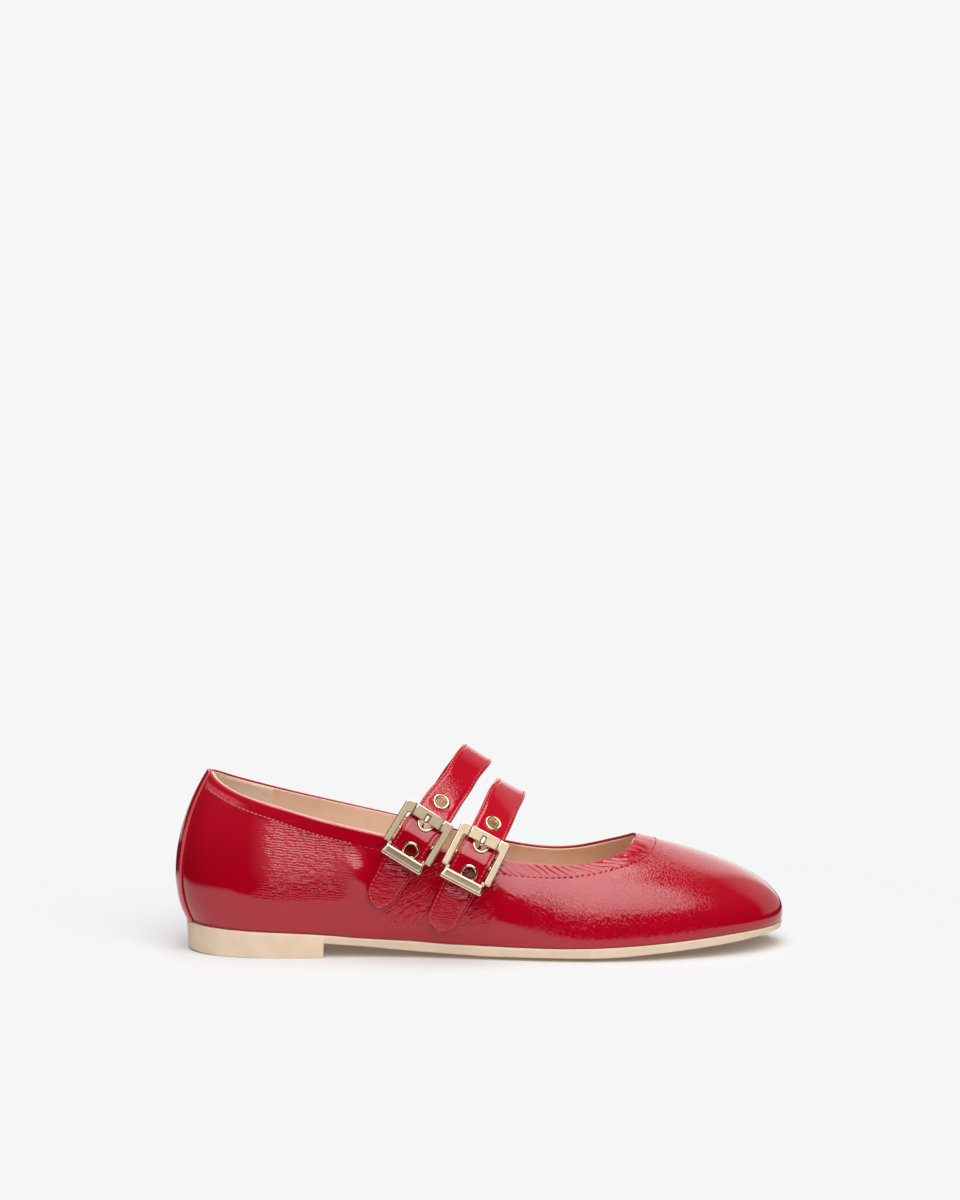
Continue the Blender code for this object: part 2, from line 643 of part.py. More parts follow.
def turned(name, profile, frame, surface):
    """A solid turned round the outward axis of a strap's frame; the profile is (radius, height) pairs."""
    middle, tangent, across, outward = frame
    points, faces, rings = [], [], []
    for radius, height in profile:
        centre = middle + outward * height
        steps = ROUND_STEPS if radius > 0.0 else 1
        rings.append(list(range(len(points), len(points) + steps)))
        for angle in np.linspace(0.0, 2.0 * math.pi, steps, endpoint=False):
            points.append(centre + radius * (tangent * math.cos(angle) + across * math.sin(angle)))
    last = rings[1:] + rings[:1] if profile[0][0] > 0.0 else rings[1:]
    for here, ahead in zip(rings, last):
        for step in range(ROUND_STEPS):
            after = (step + 1) % ROUND_STEPS
            near, far = here[step % len(here)], here[after % len(here)]
            corners = [near, far, ahead[after % len(ahead)], ahead[step % len(ahead)]]
            faces.append(list(dict.fromkeys(corners)))
    return new_object(name, points, faces, surface)


def make_eyelets(name, strap, surface):
    """Domed flange on the face of the strap, barrel through it, clinched flange behind."""
    face = STRAP_THICKNESS / 2.0 + EYELET_PROUD
    crown = face + EYELET_CROWN
    profile = [
        (EYELET_INNER, face), (EYELET_INNER + EYELET_CROWN, crown), (EYELET_OUTER - 0.4, crown),
        (EYELET_OUTER, face), (EYELET_BARREL, face), (EYELET_BARREL, -face), (EYELET_CLINCH, -face),
        (EYELET_CLINCH, -crown), (EYELET_INNER, -crown),
    ]
    for number, eyelet in enumerate(EYELETS, 1):
        turned("eyelet_%s_%d" % (name, number), profile, strap.at(eyelet.along, eyelet.aside), surface)


def corner_arc(u, v, radius, turn):
    """Points (u, v) of a rounded right-angled corner at (u, v); turn is where its arc begins, in degrees."""
    centre_u, centre_v = u - math.copysign(radius, u), v + radius
    angles = np.radians(np.linspace(turn, turn + 90.0, 4))
    return [(centre_u + radius * math.cos(a), centre_v + radius * math.sin(a)) for a in angles]


def frame_loops():
    """Outline of the buckle's frame and of its window, (u, v) points that pair up one to one."""
    half, window = FRAME_WIDTH / 2.0, FRAME_WIDTH / 2.0 - SIDE_BAR
    neck, lip = KEEPER_TOP_WIDTH / 2.0, KEEPER_LIP_WIDTH / 2.0
    outer = corner_arc(half, 0.0, FRAME_CORNER, 270.0)[::-1]
    inner = corner_arc(window, TOP_BAR, WINDOW_CORNER, 270.0)[::-1]
    outer += [(neck + 0.6, 0.0), (-neck - 0.6, 0.0)]
    inner += [(window - 1.6, TOP_BAR), (-window + 1.6, TOP_BAR)]
    outer += corner_arc(-half, 0.0, FRAME_CORNER, 180.0)[::-1]
    inner += corner_arc(-window, TOP_BAR, WINDOW_CORNER, 180.0)[::-1]
    side = [(-half, SIDE_LENGTH - 0.4), (-half + 0.4, SIDE_LENGTH), (-neck - 0.3, SIDE_LENGTH),
            (-neck, KEEPER_START), (-lip, FRAME_LENGTH), (-lip / 2.0, FRAME_LENGTH)]
    facing = [(-window, SIDE_LENGTH - 2.4), (-window, SIDE_LENGTH - 1.8), (-window, SIDE_LENGTH - 1.2),
              (-window, SIDE_LENGTH - 0.6), (-window, KEEPER_START), (-window / 2.0, KEEPER_START)]
    outer += side + [(-u, v) for u, v in side[::-1]]
    inner += facing + [(-u, v) for u, v in facing[::-1]]
    return outer, inner


def inset(loop, distance):
    """The closed loop moved sideways by a distance at every corner."""
    loop = np.asarray(loop)
    ahead, behind = np.roll(loop, -1, axis=0) - loop, loop - np.roll(loop, 1, axis=0)
    ahead /= np.linalg.norm(ahead, axis=1)[:, None]
    behind /= np.linalg.norm(behind, axis=1)[:, None]
    bisector = np.stack([ahead[:, 1] + behind[:, 1], -ahead[:, 0] - behind[:, 0]], axis=1)
    return loop + distance * bisector / np.maximum(1.0 + np.sum(ahead * behind, axis=1), 0.6)[:, None]


def box_between(name, seat, low, high, surface):
    """A box along the seat's own axes from corner low to corner high, each (u, v, w)."""
    corners = [(u, v, w) for u in (low[0], high[0]) for v in (low[1], high[1]) for w in (low[2], high[2])]
    points = [seat.point(*corner) for corner in corners]
    faces = [(0, 1, 3, 2), (4, 5, 7, 6), (0, 1, 5, 4), (2, 3, 7, 6), (0, 2, 6, 4), (1, 3, 7, 5)]
    return new_object(name, points, faces, surface)


def combine(target, tool, operation):
    """Cuts the tool from the target, or unites the two, through a Boolean modifier."""
    tool.hide_render = True
    tool.display_type = "WIRE"
    change = target.modifiers.new(tool.name, "BOOLEAN")
    change.operation = operation
    change.solver = "EXACT"
    change.object = tool


def make_buckle(name, seat, surface):
    """A flat frame over the strap, a groove in it for the prong, and lugs that hold the bar below."""
    high = FRAME_LOW + FRAME_THICKNESS
    half = FRAME_WIDTH / 2.0
    outer, inner = frame_loops()
    steps = ((outer, FRAME_LOW), (outer, high - FRAME_BEVEL), (inset(outer, FRAME_BEVEL), high),
             (inset(inner, -FRAME_BEVEL), high), (inner, high - FRAME_BEVEL), (inner, FRAME_LOW))
    rings = [[seat.point(u, v, w) for u, v in loop] for loop, w in steps]
    frame = ring_wall("buckle_" + name, rings, surface)
    pieces = []
    for side, label in ((-1.0, "out"), (1.0, "in")):
        near, far = sorted((side * (half - SIDE_BAR + GAP), side * (half - 0.5)))
        low = (near, BAR_PLACE - LUG_HALF, BAR_DEPTH - LUG_BELOW)
        pieces.append(box_between(
            "lug_%s_%s" % (name, label), seat, low, (far, BAR_PLACE + LUG_HALF, FRAME_LOW + 0.4), surface))
    reach = half - SIDE_BAR + 1.0
    pieces.append(turned(
        "bar_" + name, [(0.0, -reach), (BAR_RADIUS, -reach), (BAR_RADIUS, reach), (0.0, reach)],
        (seat.point(0.0, BAR_PLACE, BAR_DEPTH), seat.v, seat.w, seat.u), surface))
    for piece in pieces:
        combine(frame, piece, "UNION")
    groove = PRONG_GROOVE_WIDTH / 2.0
    combine(frame, box_between("groove_" + name, seat, (-groove, -1.0, high - PRONG_GROOVE_DEPTH),
                               (groove, TOP_BAR + 0.6, high + 1.0), surface), "DIFFERENCE")


def hook(centre_v, centre_w, radius, start, end, steps):
    """Points (v, w) of an arc round a bar, by angles in degrees from the +v direction towards +w."""
    angles = np.radians(np.linspace(start, end, steps))
    return [(centre_v + radius * math.cos(a), centre_w + radius * math.sin(a)) for a in angles]


def flat_band(name, middle, across, half_width, thickness, surface):
    """A band of rectangular section along a line of points, as wide as half_width each side."""
    middle = np.asarray(middle)
    tangent = np.gradient(middle, axis=0)
    tangent /= np.linalg.norm(tangent, axis=1)[:, None]
    outward = np.cross(across, tangent)
    outward /= np.linalg.norm(outward, axis=1)[:, None]
    rings = []
    for side, level in ((-1, 1), (1, 1), (1, -1), (-1, -1)):
        rings.append(middle + side * half_width * across + level * thickness / 2.0 * outward)
    rings = np.stack(rings, axis=1)
    points = rings.reshape(-1, 3)
    faces = [(0, 1, 2, 3), tuple(range(len(points) - 4, len(points)))]
    for ring in range(len(rings) - 1):
        for i in range(4):
            j = (i + 1) % 4
            faces.append((ring * 4 + i, ring * 4 + j, ring * 4 + 4 + j, ring * 4 + 4 + i))
    return new_object(name, points, faces, surface)


def make_prong(name, seat, surface):
    """A prong that hooks round the bar, rises through the second eyelet and lies in the top bar's groove."""
    eye = BAR_RADIUS + PRONG_CLEARANCE + PRONG_THICKNESS / 2.0
    top = FRAME_LOW + FRAME_THICKNESS - PRONG_GROOVE_DEPTH + GAP + PRONG_THICKNESS / 2.0
    line = hook(BAR_PLACE, BAR_DEPTH, eye, 45.0, -100.0, 7) + [
        (8.6, -1.5), (6.4, -1.0), (5.3, 0.4), (4.9, 1.9), (4.2, top - 0.1), (2.6, top), (0.6, top)]
    path = natural_spline([seat.point(0.0, v, w) for v, w in line], 26)
    flat_band("prong_" + name, path, seat.u, PRONG_WIDTH / 2.0, PRONG_THICKNESS, surface)


def stand_at_origin():
    """Moves everything by one parent, so that the middle of the footprint is the origin."""
    nodes = [obj for obj in bpy.data.objects if obj.type == "MESH"]
    shown = [obj for obj in nodes if not obj.hide_render]
    points = np.array([vertex.co for obj in shown for vertex in obj.data.vertices])
    low, high = points.min(axis=0), points.max(axis=0)
    origin = bpy.data.objects.new("shoe_origin", None)
    bpy.context.scene.collection.objects.link(origin)
    origin.location = (-(low[0] + high[0]) / 2.0, -(low[1] + high[1]) / 2.0, -low[2])
    for obj in nodes:
        obj.parent = origin


def main():
    clear_scene()
    patent = material("patent_leather", (0.38, 0.0, 0.012), 0.12)
    rubber = material("sole_rubber", (0.76, 0.58, 0.41), 0.5)
    lining = material("lining_leather", (0.68, 0.46, 0.29), 0.6)
    gold = material("gold_metal", (0.75, 0.58, 0.32), 0.2, 1.0)
    make_outsole(rubber)
    make_upper(patent)
    make_insole(lining)
    make_back_strip(patent)
    quarter = Quarter()
    for name in SEATS:
        strap = Strap(name, quarter)
        make_strap(name, strap, patent)
        make_eyelets(name, strap, gold)
        make_buckle(name, strap.seat, gold)
        make_prong(name, strap.seat, gold)
    stand_at_origin()


main()
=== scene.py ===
"""Looks of the red ballet flat: crinkled patent leather, beige lining, cream sole and pale gold buckles.

Shapes are worked out in millimetres in the last's own axes: X from the back of the heel to the toe, -Y to the
lateral side with the buckles, and Z = 0 on the floor. place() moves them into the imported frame, in metres.
"""

import json
import math
from collections import namedtuple

import bmesh
import bpy
import numpy as np
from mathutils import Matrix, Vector
from mathutils.bvhtree import BVHTree

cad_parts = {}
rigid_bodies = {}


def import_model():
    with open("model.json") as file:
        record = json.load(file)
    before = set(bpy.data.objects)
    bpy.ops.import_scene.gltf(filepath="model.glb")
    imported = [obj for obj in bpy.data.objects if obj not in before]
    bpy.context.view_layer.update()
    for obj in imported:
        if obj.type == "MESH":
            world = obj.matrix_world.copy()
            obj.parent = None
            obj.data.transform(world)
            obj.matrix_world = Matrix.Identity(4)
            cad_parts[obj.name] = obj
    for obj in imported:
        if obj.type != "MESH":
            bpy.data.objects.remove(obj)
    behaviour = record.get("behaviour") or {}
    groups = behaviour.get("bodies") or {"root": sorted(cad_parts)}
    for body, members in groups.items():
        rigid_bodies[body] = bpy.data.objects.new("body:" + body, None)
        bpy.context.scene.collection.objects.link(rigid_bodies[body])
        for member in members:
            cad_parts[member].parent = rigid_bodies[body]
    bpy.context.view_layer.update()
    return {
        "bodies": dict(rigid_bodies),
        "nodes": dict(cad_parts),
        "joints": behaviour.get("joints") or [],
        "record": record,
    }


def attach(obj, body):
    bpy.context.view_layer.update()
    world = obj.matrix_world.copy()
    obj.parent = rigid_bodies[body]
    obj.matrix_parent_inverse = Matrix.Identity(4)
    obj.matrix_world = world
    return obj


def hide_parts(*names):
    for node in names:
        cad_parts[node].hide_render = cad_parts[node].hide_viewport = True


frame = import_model()

MM = 0.001
LAST_ORIGIN = np.array((-125.146, 1.8115, 0.0))

# Driving sizes of the shoe.
LENGTH = 250.0
BALL_WIDTH = 81.0
BACK_HEIGHT = 72.3
INSTEP_HEIGHT = 79.0
HEEL_HEIGHT = 10.5
WALL = 1.8
GAP = 0.3

# Sole and insole. The underside is crowned: its rim stands a little off the floor all round the forefoot.
RIM_STEP = 1.2
BREAST_X = 61.0
SOLE_WALL_DRAFT = 0.5
SOLE_EDGE = 0.4
CROWN_RISE = 1.5
CROWN_WIDTH = 7.0
INSOLE_THICKNESS = 3.0

# Back strip over the heel seam.
BACK_STRIP_HALF = 8.0
BACK_STRIP_THICKNESS = 0.8

# Straps. Distances along a strap are from the outer edge of its buckle's top bar, and grow towards the tip.
STRAP_WIDTH = 14.6
STRAP_THICKNESS = 1.6
TIP_START = 26.0
TIP_END = 45.0
TIP_WIDTH = 13.0
TAIL_SWAY = 1.0
Eyelet = namedtuple("Eyelet", "along aside")
EYELETS = (Eyelet(-7.0, 0.0), Eyelet(4.9, 0.0), Eyelet(17.0, 1.0))
EYELET_INNER = 2.4
EYELET_BARREL = 2.7
EYELET_OUTER = 3.5
EYELET_CLINCH = 3.3

# Buckles. Each is a flat frame with a narrower keeper plate at the end towards the strap's tip. Heights are
# measured from the seat, which is the plane through the strap's middle where it passes under the frame.
FRAME_WIDTH = 21.9
FRAME_LENGTH = 23.4
TOP_BAR = 3.9
SIDE_BAR = 3.0
SIDE_LENGTH = 18.3
KEEPER_START = 18.9
KEEPER_TOP_WIDTH = 17.0
KEEPER_LIP_WIDTH = 19.2
FRAME_LOW = 1.75
FRAME_THICKNESS = 1.6
WINDOW_CORNER = 0.7
PRONG_GROOVE_DEPTH = 1.0
BAR_PLACE = 11.0
BAR_DEPTH = -0.5
BAR_RADIUS = 0.7
LUG_HALF = 1.3
LUG_BELOW = 1.0
RIDGE_HEIGHT = 2.45
RIDGE_SLOPE = 0.3
RIDGE_ROUND = 1.2
BUCKLE_ENTRY = 0.6
PRONG_WIDTH = 1.2
PRONG_THICKNESS = 0.9
PRONG_CLEARANCE = 0.2

# Seat of each buckle: where its strap passes under the top bar and under the keeper, the bars' slant, and how
# far the strap stands off towards the toe under the top bar. It is back in the middle at SWAY_END.
Seat = namedtuple("Seat", "bar_x bar_y bar_z keeper_x keeper_y keeper_z slant sway")
SEATS = {
    "rear": Seat(102.9, -31.3, 57.2, 93.0, -35.0, 41.7, 29.2, 1.4),
    "front": Seat(125.2, -32.0, 48.4, 116.3, -37.4, 32.2, 26.3, 0.5),
}
SEAT_FLARE = -0.08
SWAY_END = 8.0

# Middle line of each strap from its medial end, inside the upper, over the instep and down to the buckle:
# x in percent of LENGTH, y in percent of BALL_WIDTH and z in percent of INSTEP_HEIGHT.
Turn = namedtuple("Turn", "x y z")
ARCHES = {
    "rear": [
        Turn(39.4, 28.4, 48.7), Turn(41.3, 30.6, 60.1), Turn(43.4, 31.0, 69.0), Turn(45.2, 29.6, 77.2),
        Turn(46.8, 25.9, 85.4), Turn(48.1, 20.4, 91.8), Turn(49.1, 13.0, 97.1), Turn(49.4, 2.5, 100.0),
        Turn(48.7, -7.4, 99.0), Turn(47.3, -16.0, 94.9), Turn(45.6, -24.5, 87.9), Turn(43.5, -31.2, 80.2),
    ],
    "front": [
        Turn(48.6, 27.9, 37.3), Turn(50.2, 29.4, 46.2), Turn(51.8, 29.5, 55.1), Turn(53.0, 27.3, 63.9),
        Turn(54.0, 22.2, 72.2), Turn(54.7, 14.2, 78.4), Turn(54.9, 3.7, 82.2), Turn(54.6, -7.4, 81.8),
        Turn(53.7, -17.3, 78.2), Turn(52.6, -25.9, 72.7), Turn(51.4, -33.3, 66.6),
    ],
}
# Direction across each strap at its crest, in degrees: down towards the toe, and inward towards the toe.
Crest = namedtuple("Crest", "slant turn")
CRESTS = {"rear": Crest(33.5, 9.0), "front": Crest(31.0, 21.7)}
CREST_PLACE = -42.0

# One row for each rib of the upper, from the back of the heel to the toe. The foot of a rib stands on the
# sole and its top is on the topline. Places along the shoe are percent of LENGTH, widths are percent of
# BALL_WIDTH and heights of the topline are percent of BACK_HEIGHT. "pull" and "rise" place the corner that
# the rib bends round, outward and upward of its foot, and "square" is how tightly it bends (2 is an ellipse).
Rib = namedtuple(
    "Rib", "foot_x foot_lat foot_med top_x top_lat top_med rim_lat rim_med pull_lat pull_med rise square"
)
RIBS = [
    Rib(2.5, 0.0, 0.0, 6.0, 0.0, 0.0, 101.0, 101.0, 15.7, 15.7, 24.5, 2.0),
    Rib(3.7, 14.2, 14.2, 6.8, 8.8, 8.8, 98.0, 99.8, 14.5, 14.5, 24.5, 2.0),
    Rib(6.4, 23.5, 23.5, 8.8, 15.2, 15.0, 93.6, 96.6, 12.5, 12.5, 24.5, 2.0),
    Rib(10.8, 30.4, 30.0, 12.4, 21.8, 21.2, 88.8, 91.8, 10.0, 10.0, 24.5, 2.0),
    Rib(16.8, 33.4, 32.4, 17.6, 27.2, 25.9, 83.6, 86.2, 8.2, 8.6, 24.0, 2.0),
    Rib(24.0, 33.7, 31.8, 23.6, 31.6, 29.1, 77.8, 80.6, 7.4, 8.6, 22.5, 2.0),
    Rib(32.0, 34.0, 29.8, 30.8, 34.8, 31.8, 71.8, 74.3, 7.0, 9.6, 20.0, 2.0),
    Rib(42.0, 36.6, 28.8, 40.4, 38.2, 33.9, 64.2, 66.1, 6.4, 10.4, 17.5, 2.0),
    Rib(52.0, 42.5, 34.0, 50.0, 38.2, 34.0, 57.4, 57.9, 5.0, 8.2, 16.5, 2.0),
    Rib(61.2, 47.9, 40.7, 58.8, 36.5, 31.6, 53.0, 52.3, 3.8, 5.4, 18.5, 2.05),
    Rib(69.2, 49.8, 44.9, 64.6, 33.9, 29.6, 51.7, 51.5, 3.0, 3.6, 20.5, 2.2),
    Rib(77.2, 47.5, 45.4, 68.8, 29.4, 26.9, 53.2, 53.8, 2.4, 2.6, 22.0, 2.4),
    Rib(84.4, 42.0, 41.5, 71.8, 23.2, 22.0, 55.6, 57.0, 2.2, 2.3, 21.4, 2.6),
    Rib(90.8, 33.1, 34.3, 73.8, 16.0, 16.5, 58.1, 59.6, 2.5, 2.6, 19.9, 2.8),
    Rib(95.8, 21.0, 25.3, 74.9, 9.3, 11.1, 60.6, 61.7, 3.0, 3.1, 18.9, 2.9),
    Rib(98.7, 7.2, 16.7, 75.4, 3.1, 7.2, 62.5, 62.7, 3.2, 3.2, 18.3, 3.0),
    Rib(99.4, -5.6, 5.6, 75.6, -2.5, 2.5, 63.1, 63.1, 3.3, 3.3, 18.3, 3.0),
]

# The sole along the shoe: the height of its rim and of its underside ahead of the heel. x is percent of
# LENGTH and height is percent of HEEL_HEIGHT.
Level = namedtuple("Level", "x height")
RIM = [
    Level(0.0, 118.1), Level(6.0, 107.6), Level(12.0, 101.9), Level(21.0, 93.3), Level(32.0, 74.3),
    Level(38.5, 66.8), Level(45.0, 57.2), Level(60.0, 49.5), Level(68.0, 53.3), Level(76.0, 61.8),
    Level(86.0, 77.6), Level(94.0, 88.6), Level(100.0, 91.5),
]
UNDERSIDE = [
    Level(24.0, 44.0), Level(30.0, 33.8), Level(38.0, 16.2), Level(46.0, 4.8), Level(51.0, 0.0),
    Level(60.0, 0.0), Level(66.0, 0.0), Level(71.0, 2.6), Level(76.0, 10.5), Level(82.0, 21.5),
    Level(90.0, 36.5), Level(96.0, 49.0), Level(100.0, 55.0),
]


# --- The last ---


def unit(vector):
    return vector / np.linalg.norm(vector)


def units(vectors):
    """An array of vectors, each made one unit long."""
    return vectors / np.linalg.norm(vectors, axis=-1, keepdims=True)


def travel_along(path):
    """Distance along a path from its start to each of its points."""
    return np.concatenate([[0.0], np.cumsum(np.linalg.norm(np.diff(path, axis=0), axis=1))])


def between(place, places, rows):
    """The row at a place, between the rows at places."""
    return np.array([np.interp(place, places, column) for column in rows.T])


def cubic(knots, values, bends, spans, after, at):
    """Points of a cubic spline in the given spans, from its values and bends at the knots."""
    step = (knots[spans + 1] - knots[spans])[:, None]
    a = (knots[spans + 1] - at)[:, None] / step
    b = 1.0 - a
    curve = (a**3 - a) * bends[spans] + (b**3 - b) * bends[after]
    return a * values[spans] + b * values[after] + curve * step**2 / 6.0


def periodic_spline(knots, values, at):
    """Values of the smooth closed curve through values at knots. The last knot is the first one again."""
    steps = np.diff(knots)
    count = len(steps)
    matrix = np.zeros((count, count))
    right = np.zeros((count, values.shape[1]))
    for i in range(count):
        before, after = steps[i - 1], steps[i]
        matrix[i, i - 1] += before
        matrix[i, i] += 2.0 * (before + after)
        matrix[i, (i + 1) % count] += after
        rise_after = (values[(i + 1) % count] - values[i]) / after
        rise_before = (values[i] - values[i - 1]) / before
        right[i] = 6.0 * (rise_after - rise_before)
    bends = np.linalg.solve(matrix, right)
    span = knots[-1] - knots[0]
    place = knots[0] + np.mod(np.asarray(at) - knots[0], span)
    spans = np.clip(np.searchsorted(knots, place, side="right") - 1, 0, count - 1)
    return cubic(knots, values, bends, spans, (spans + 1) % count, place)


def natural_spline(points, samples):
    """Evenly spaced points on the smooth open curve through the given points."""
    points = np.asarray(points, float)
    knots = travel_along(points)
    steps = np.diff(knots)
    count = len(points)
    matrix = np.eye(count)
    right = np.zeros((count, 3))
    for i in range(1, count - 1):
        matrix[i, i - 1 : i + 2] = steps[i - 1], 2.0 * (steps[i - 1] + steps[i]), steps[i]
        ahead = (points[i + 1] - points[i]) / steps[i]
        behind = (points[i] - points[i - 1]) / steps[i - 1]
        right[i] = 6.0 * (ahead - behind)
    bends = np.linalg.solve(matrix, right)
    at = np.linspace(0.0, knots[-1], samples)
    spans = np.clip(np.searchsorted(knots, at, side="right") - 1, 0, count - 2)
    return cubic(knots, points, bends, spans, spans + 1, at)


def open_spline(levels, x):
    """Height at x of the smooth curve through Level rows, with no overshoot between rows."""
    places = np.array([row.x for row in levels]) * LENGTH / 100.0
    heights = np.array([row.height for row in levels]) * HEEL_HEIGHT / 100.0
    steps = np.diff(places)
    slopes = np.diff(heights) / steps
    tangents = np.zeros(len(places))
    tangents[0], tangents[-1] = slopes[0], slopes[-1]
    for i in range(1, len(places) - 1):
        if slopes[i - 1] * slopes[i] > 0.0:
            weight_a = 2.0 * steps[i] + steps[i - 1]
            weight_b = steps[i] + 2.0 * steps[i - 1]
            tangents[i] = (weight_a + weight_b) / (weight_a / slopes[i - 1] + weight_b / slopes[i])
    x = np.clip(np.asarray(x, float), places[0], places[-1])
    i = np.clip(np.searchsorted(places, x, side="right") - 1, 0, len(steps) - 1)
    t = (x - places[i]) / steps[i]
    return (
        heights[i] * (1 + 2 * t) * (1 - t) ** 2
        + heights[i + 1] * t**2 * (3 - 2 * t)
        + steps[i] * (tangents[i] * t * (1 - t) ** 2 - tangents[i + 1] * t**2 * (1 - t))
    )


def rib_knots():
    """Distance of each rib along the shoe's side, up the lateral side and back down the medial side."""
    lateral = np.array([(rib.foot_x * LENGTH, -rib.foot_lat * BALL_WIDTH) for rib in RIBS]) / 100.0
    medial = np.array([(rib.foot_x * LENGTH, rib.foot_med * BALL_WIDTH) for rib in RIBS]) / 100.0
    steps = [np.linalg.norm(np.diff(side, axis=0), axis=1) for side in (lateral, medial)]
    there = np.concatenate([[0.0], np.cumsum((steps[0] + steps[1]) / 2.0)])
    back = 2.0 * there[-1] - there[-2::-1]
    return np.concatenate([there, back])


def rib_values():
    """The table as one closed loop of rows: foot x y, top x y z, pull, rise and square."""
    def row(rib, side):
        across = BALL_WIDTH / 100.0 * (-1.0 if side == "lat" else 1.0)
        return (
            rib.foot_x * LENGTH / 100.0,
            getattr(rib, "foot_" + side) * across,
            rib.top_x * LENGTH / 100.0,
            getattr(rib, "top_" + side) * across,
            getattr(rib, "rim_" + side) * BACK_HEIGHT / 100.0,
            getattr(rib, "pull_" + side),
            rib.rise,
            rib.square,
        )
    return np.array([row(rib, "lat") for rib in RIBS] + [row(rib, "med") for rib in RIBS[-2:0:-1]])


KNOTS = rib_knots()
VALUES = rib_values()
HALF_ROUND = KNOTS[-1] / 2.0


def plan_loop(at):
    """Foot of the upper in plan, and its outward normal, at distances round the shoe."""
    step = 0.2
    behind, here, ahead = [periodic_spline(KNOTS, VALUES, np.asarray(at) + shift)[:, :2]
                           for shift in (-step, 0.0, step)]
    tangent = ahead - behind
    return here, units(np.stack([tangent[:, 1], -tangent[:, 0]], axis=1))


def rib_grid(at, heights):
    """Outer face of the upper: an array [height][place round the shoe][x y z]."""
    table = periodic_spline(KNOTS, VALUES, at)
    plan, normal = plan_loop(at)
    foot = np.column_stack([plan, open_spline(RIM, plan[:, 0]) + GAP])
    top = table[:, 2:5]
    pull, rise, square = table[:, 5:6], table[:, 6:7], table[:, 7:8]
    corner = foot + np.column_stack([normal * pull, rise])
    rows = []
    for t in heights:
        angle = t * math.pi / 2.0
        fall = max(math.cos(angle), 0.0) ** (2.0 / square)
        lift = max(math.sin(angle), 0.0) ** (2.0 / square)
        rows.append(foot + top - corner + (corner - top) * fall + (corner - foot) * lift)
    return np.array(rows)


def grid_normals(grid):
    """Outward unit normals of a grid that closes round the shoe."""
    around = np.roll(grid, -1, axis=1) - np.roll(grid, 1, axis=1)
    up = np.gradient(grid, axis=0)
    return units(np.cross(around, up))


def smooth(x):
    """Soft step from 0 at 0 to 1 at 1."""
    x = np.clip(x, 0.0, 1.0)
    return x * x * (3.0 - 2.0 * x)


def bell(x, width):
    """1 at 0, falling softly to nearly 0 at twice the width on both sides."""
    return np.exp(-((x / width) ** 2))


def window(x, low, high, soft):
    """1 between low and high, falling softly to 0 over the distance soft outside them."""
    return smooth((x - low) / soft + 1.0) * smooth((high - x) / soft + 1.0)


def both_sides(places):
    """Distances round the whole shoe from places along one side."""
    places = np.asarray(places)
    return np.concatenate([places, 2.0 * HALF_ROUND - places[-2:0:-1]])


def place_of_x(x):
    """Distance round the lateral side at which the foot of the upper is at x."""
    dense = np.linspace(0.0, HALF_ROUND, 1200)
    return float(np.interp(x, plan_loop(dense)[0][:, 0], dense))


# --- Noise ---

LATTICE = 32
TABLES = {}


def noise(points, seed):
    """Smooth noise of about -1 to 1 at points (n, 3), with one feature for each unit of length."""
    if seed not in TABLES:
        vectors = np.random.default_rng(seed).normal(size=(LATTICE,) * 3 + (3,))
        TABLES[seed] = vectors / np.linalg.norm(vectors, axis=3)[..., None]
    table = TABLES[seed]
    cell = np.floor(points).astype(int)
    inside = points - cell
    fade = inside**3 * (inside * (inside * 6.0 - 15.0) + 10.0)
    total = np.zeros(len(points))
    for corner in np.ndindex(2, 2, 2):
        index = np.mod(cell + corner, LATTICE)
        gradient = table[index[:, 0], index[:, 1], index[:, 2]]
        weight = np.prod(np.where(np.array(corner) == 1, fade, 1.0 - fade), axis=1)
        total += weight * np.sum(gradient * (inside - corner), axis=1)
    return total * 1.6


def streaks(points, rise, length, width, seed):
    """Noise drawn out along a direction in the side view that rises by so many degrees towards the toe."""
    angle = math.radians(rise)
    along = points[:, 0] * math.cos(angle) + points[:, 2] * math.sin(angle)
    across = points[:, 2] * math.cos(angle) - points[:, 0] * math.sin(angle)
    return noise(np.column_stack([along / length, across / width, points[:, 1] / width]), seed)


def creases(values, sharpness):
    """Turns noise into thin valleys along its zero line: 1 in the valley, 0 away from it."""
    return np.clip(1.0 - np.abs(values) * sharpness, 0.0, 1.0) ** 2


# --- Meshes ---


def place(points):
    """Points in the last's axes, in millimetres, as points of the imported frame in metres."""
    return (np.asarray(points, float).reshape(-1, 3) + LAST_ORIGIN) * MM


def mesh_of(name, points, faces, surfaces, slots=None, sharp=None):
    """A mesh object whose normals face out; slots gives the material of each face."""
    mesh = bpy.data.meshes.new(name)
    mesh.from_pydata(place(points).tolist(), [], [list(face) for face in faces])
    if slots is not None:
        mesh.polygons.foreach_set("material_index", np.asarray(slots, dtype=np.int32))
    work = bmesh.new()
    work.from_mesh(mesh)
    bmesh.ops.recalc_face_normals(work, faces=work.faces)
    work.to_mesh(mesh)
    work.free()
    for surface in surfaces:
        mesh.materials.append(surface)
    mesh.shade_smooth()
    if sharp is not None:
        mesh.set_sharp_from_angle(angle=math.radians(sharp))
    obj = bpy.data.objects.new(name, mesh)
    bpy.context.scene.collection.objects.link(obj)
    return obj


def rounding(radius):
    """Steps (in, down) of a rounded edge, from its outer side to its top."""
    return [(radius * (1.0 - math.cos(angle)), radius * (1.0 - math.sin(angle)))
            for angle in np.linspace(0.0, math.pi / 2.0, 5)]


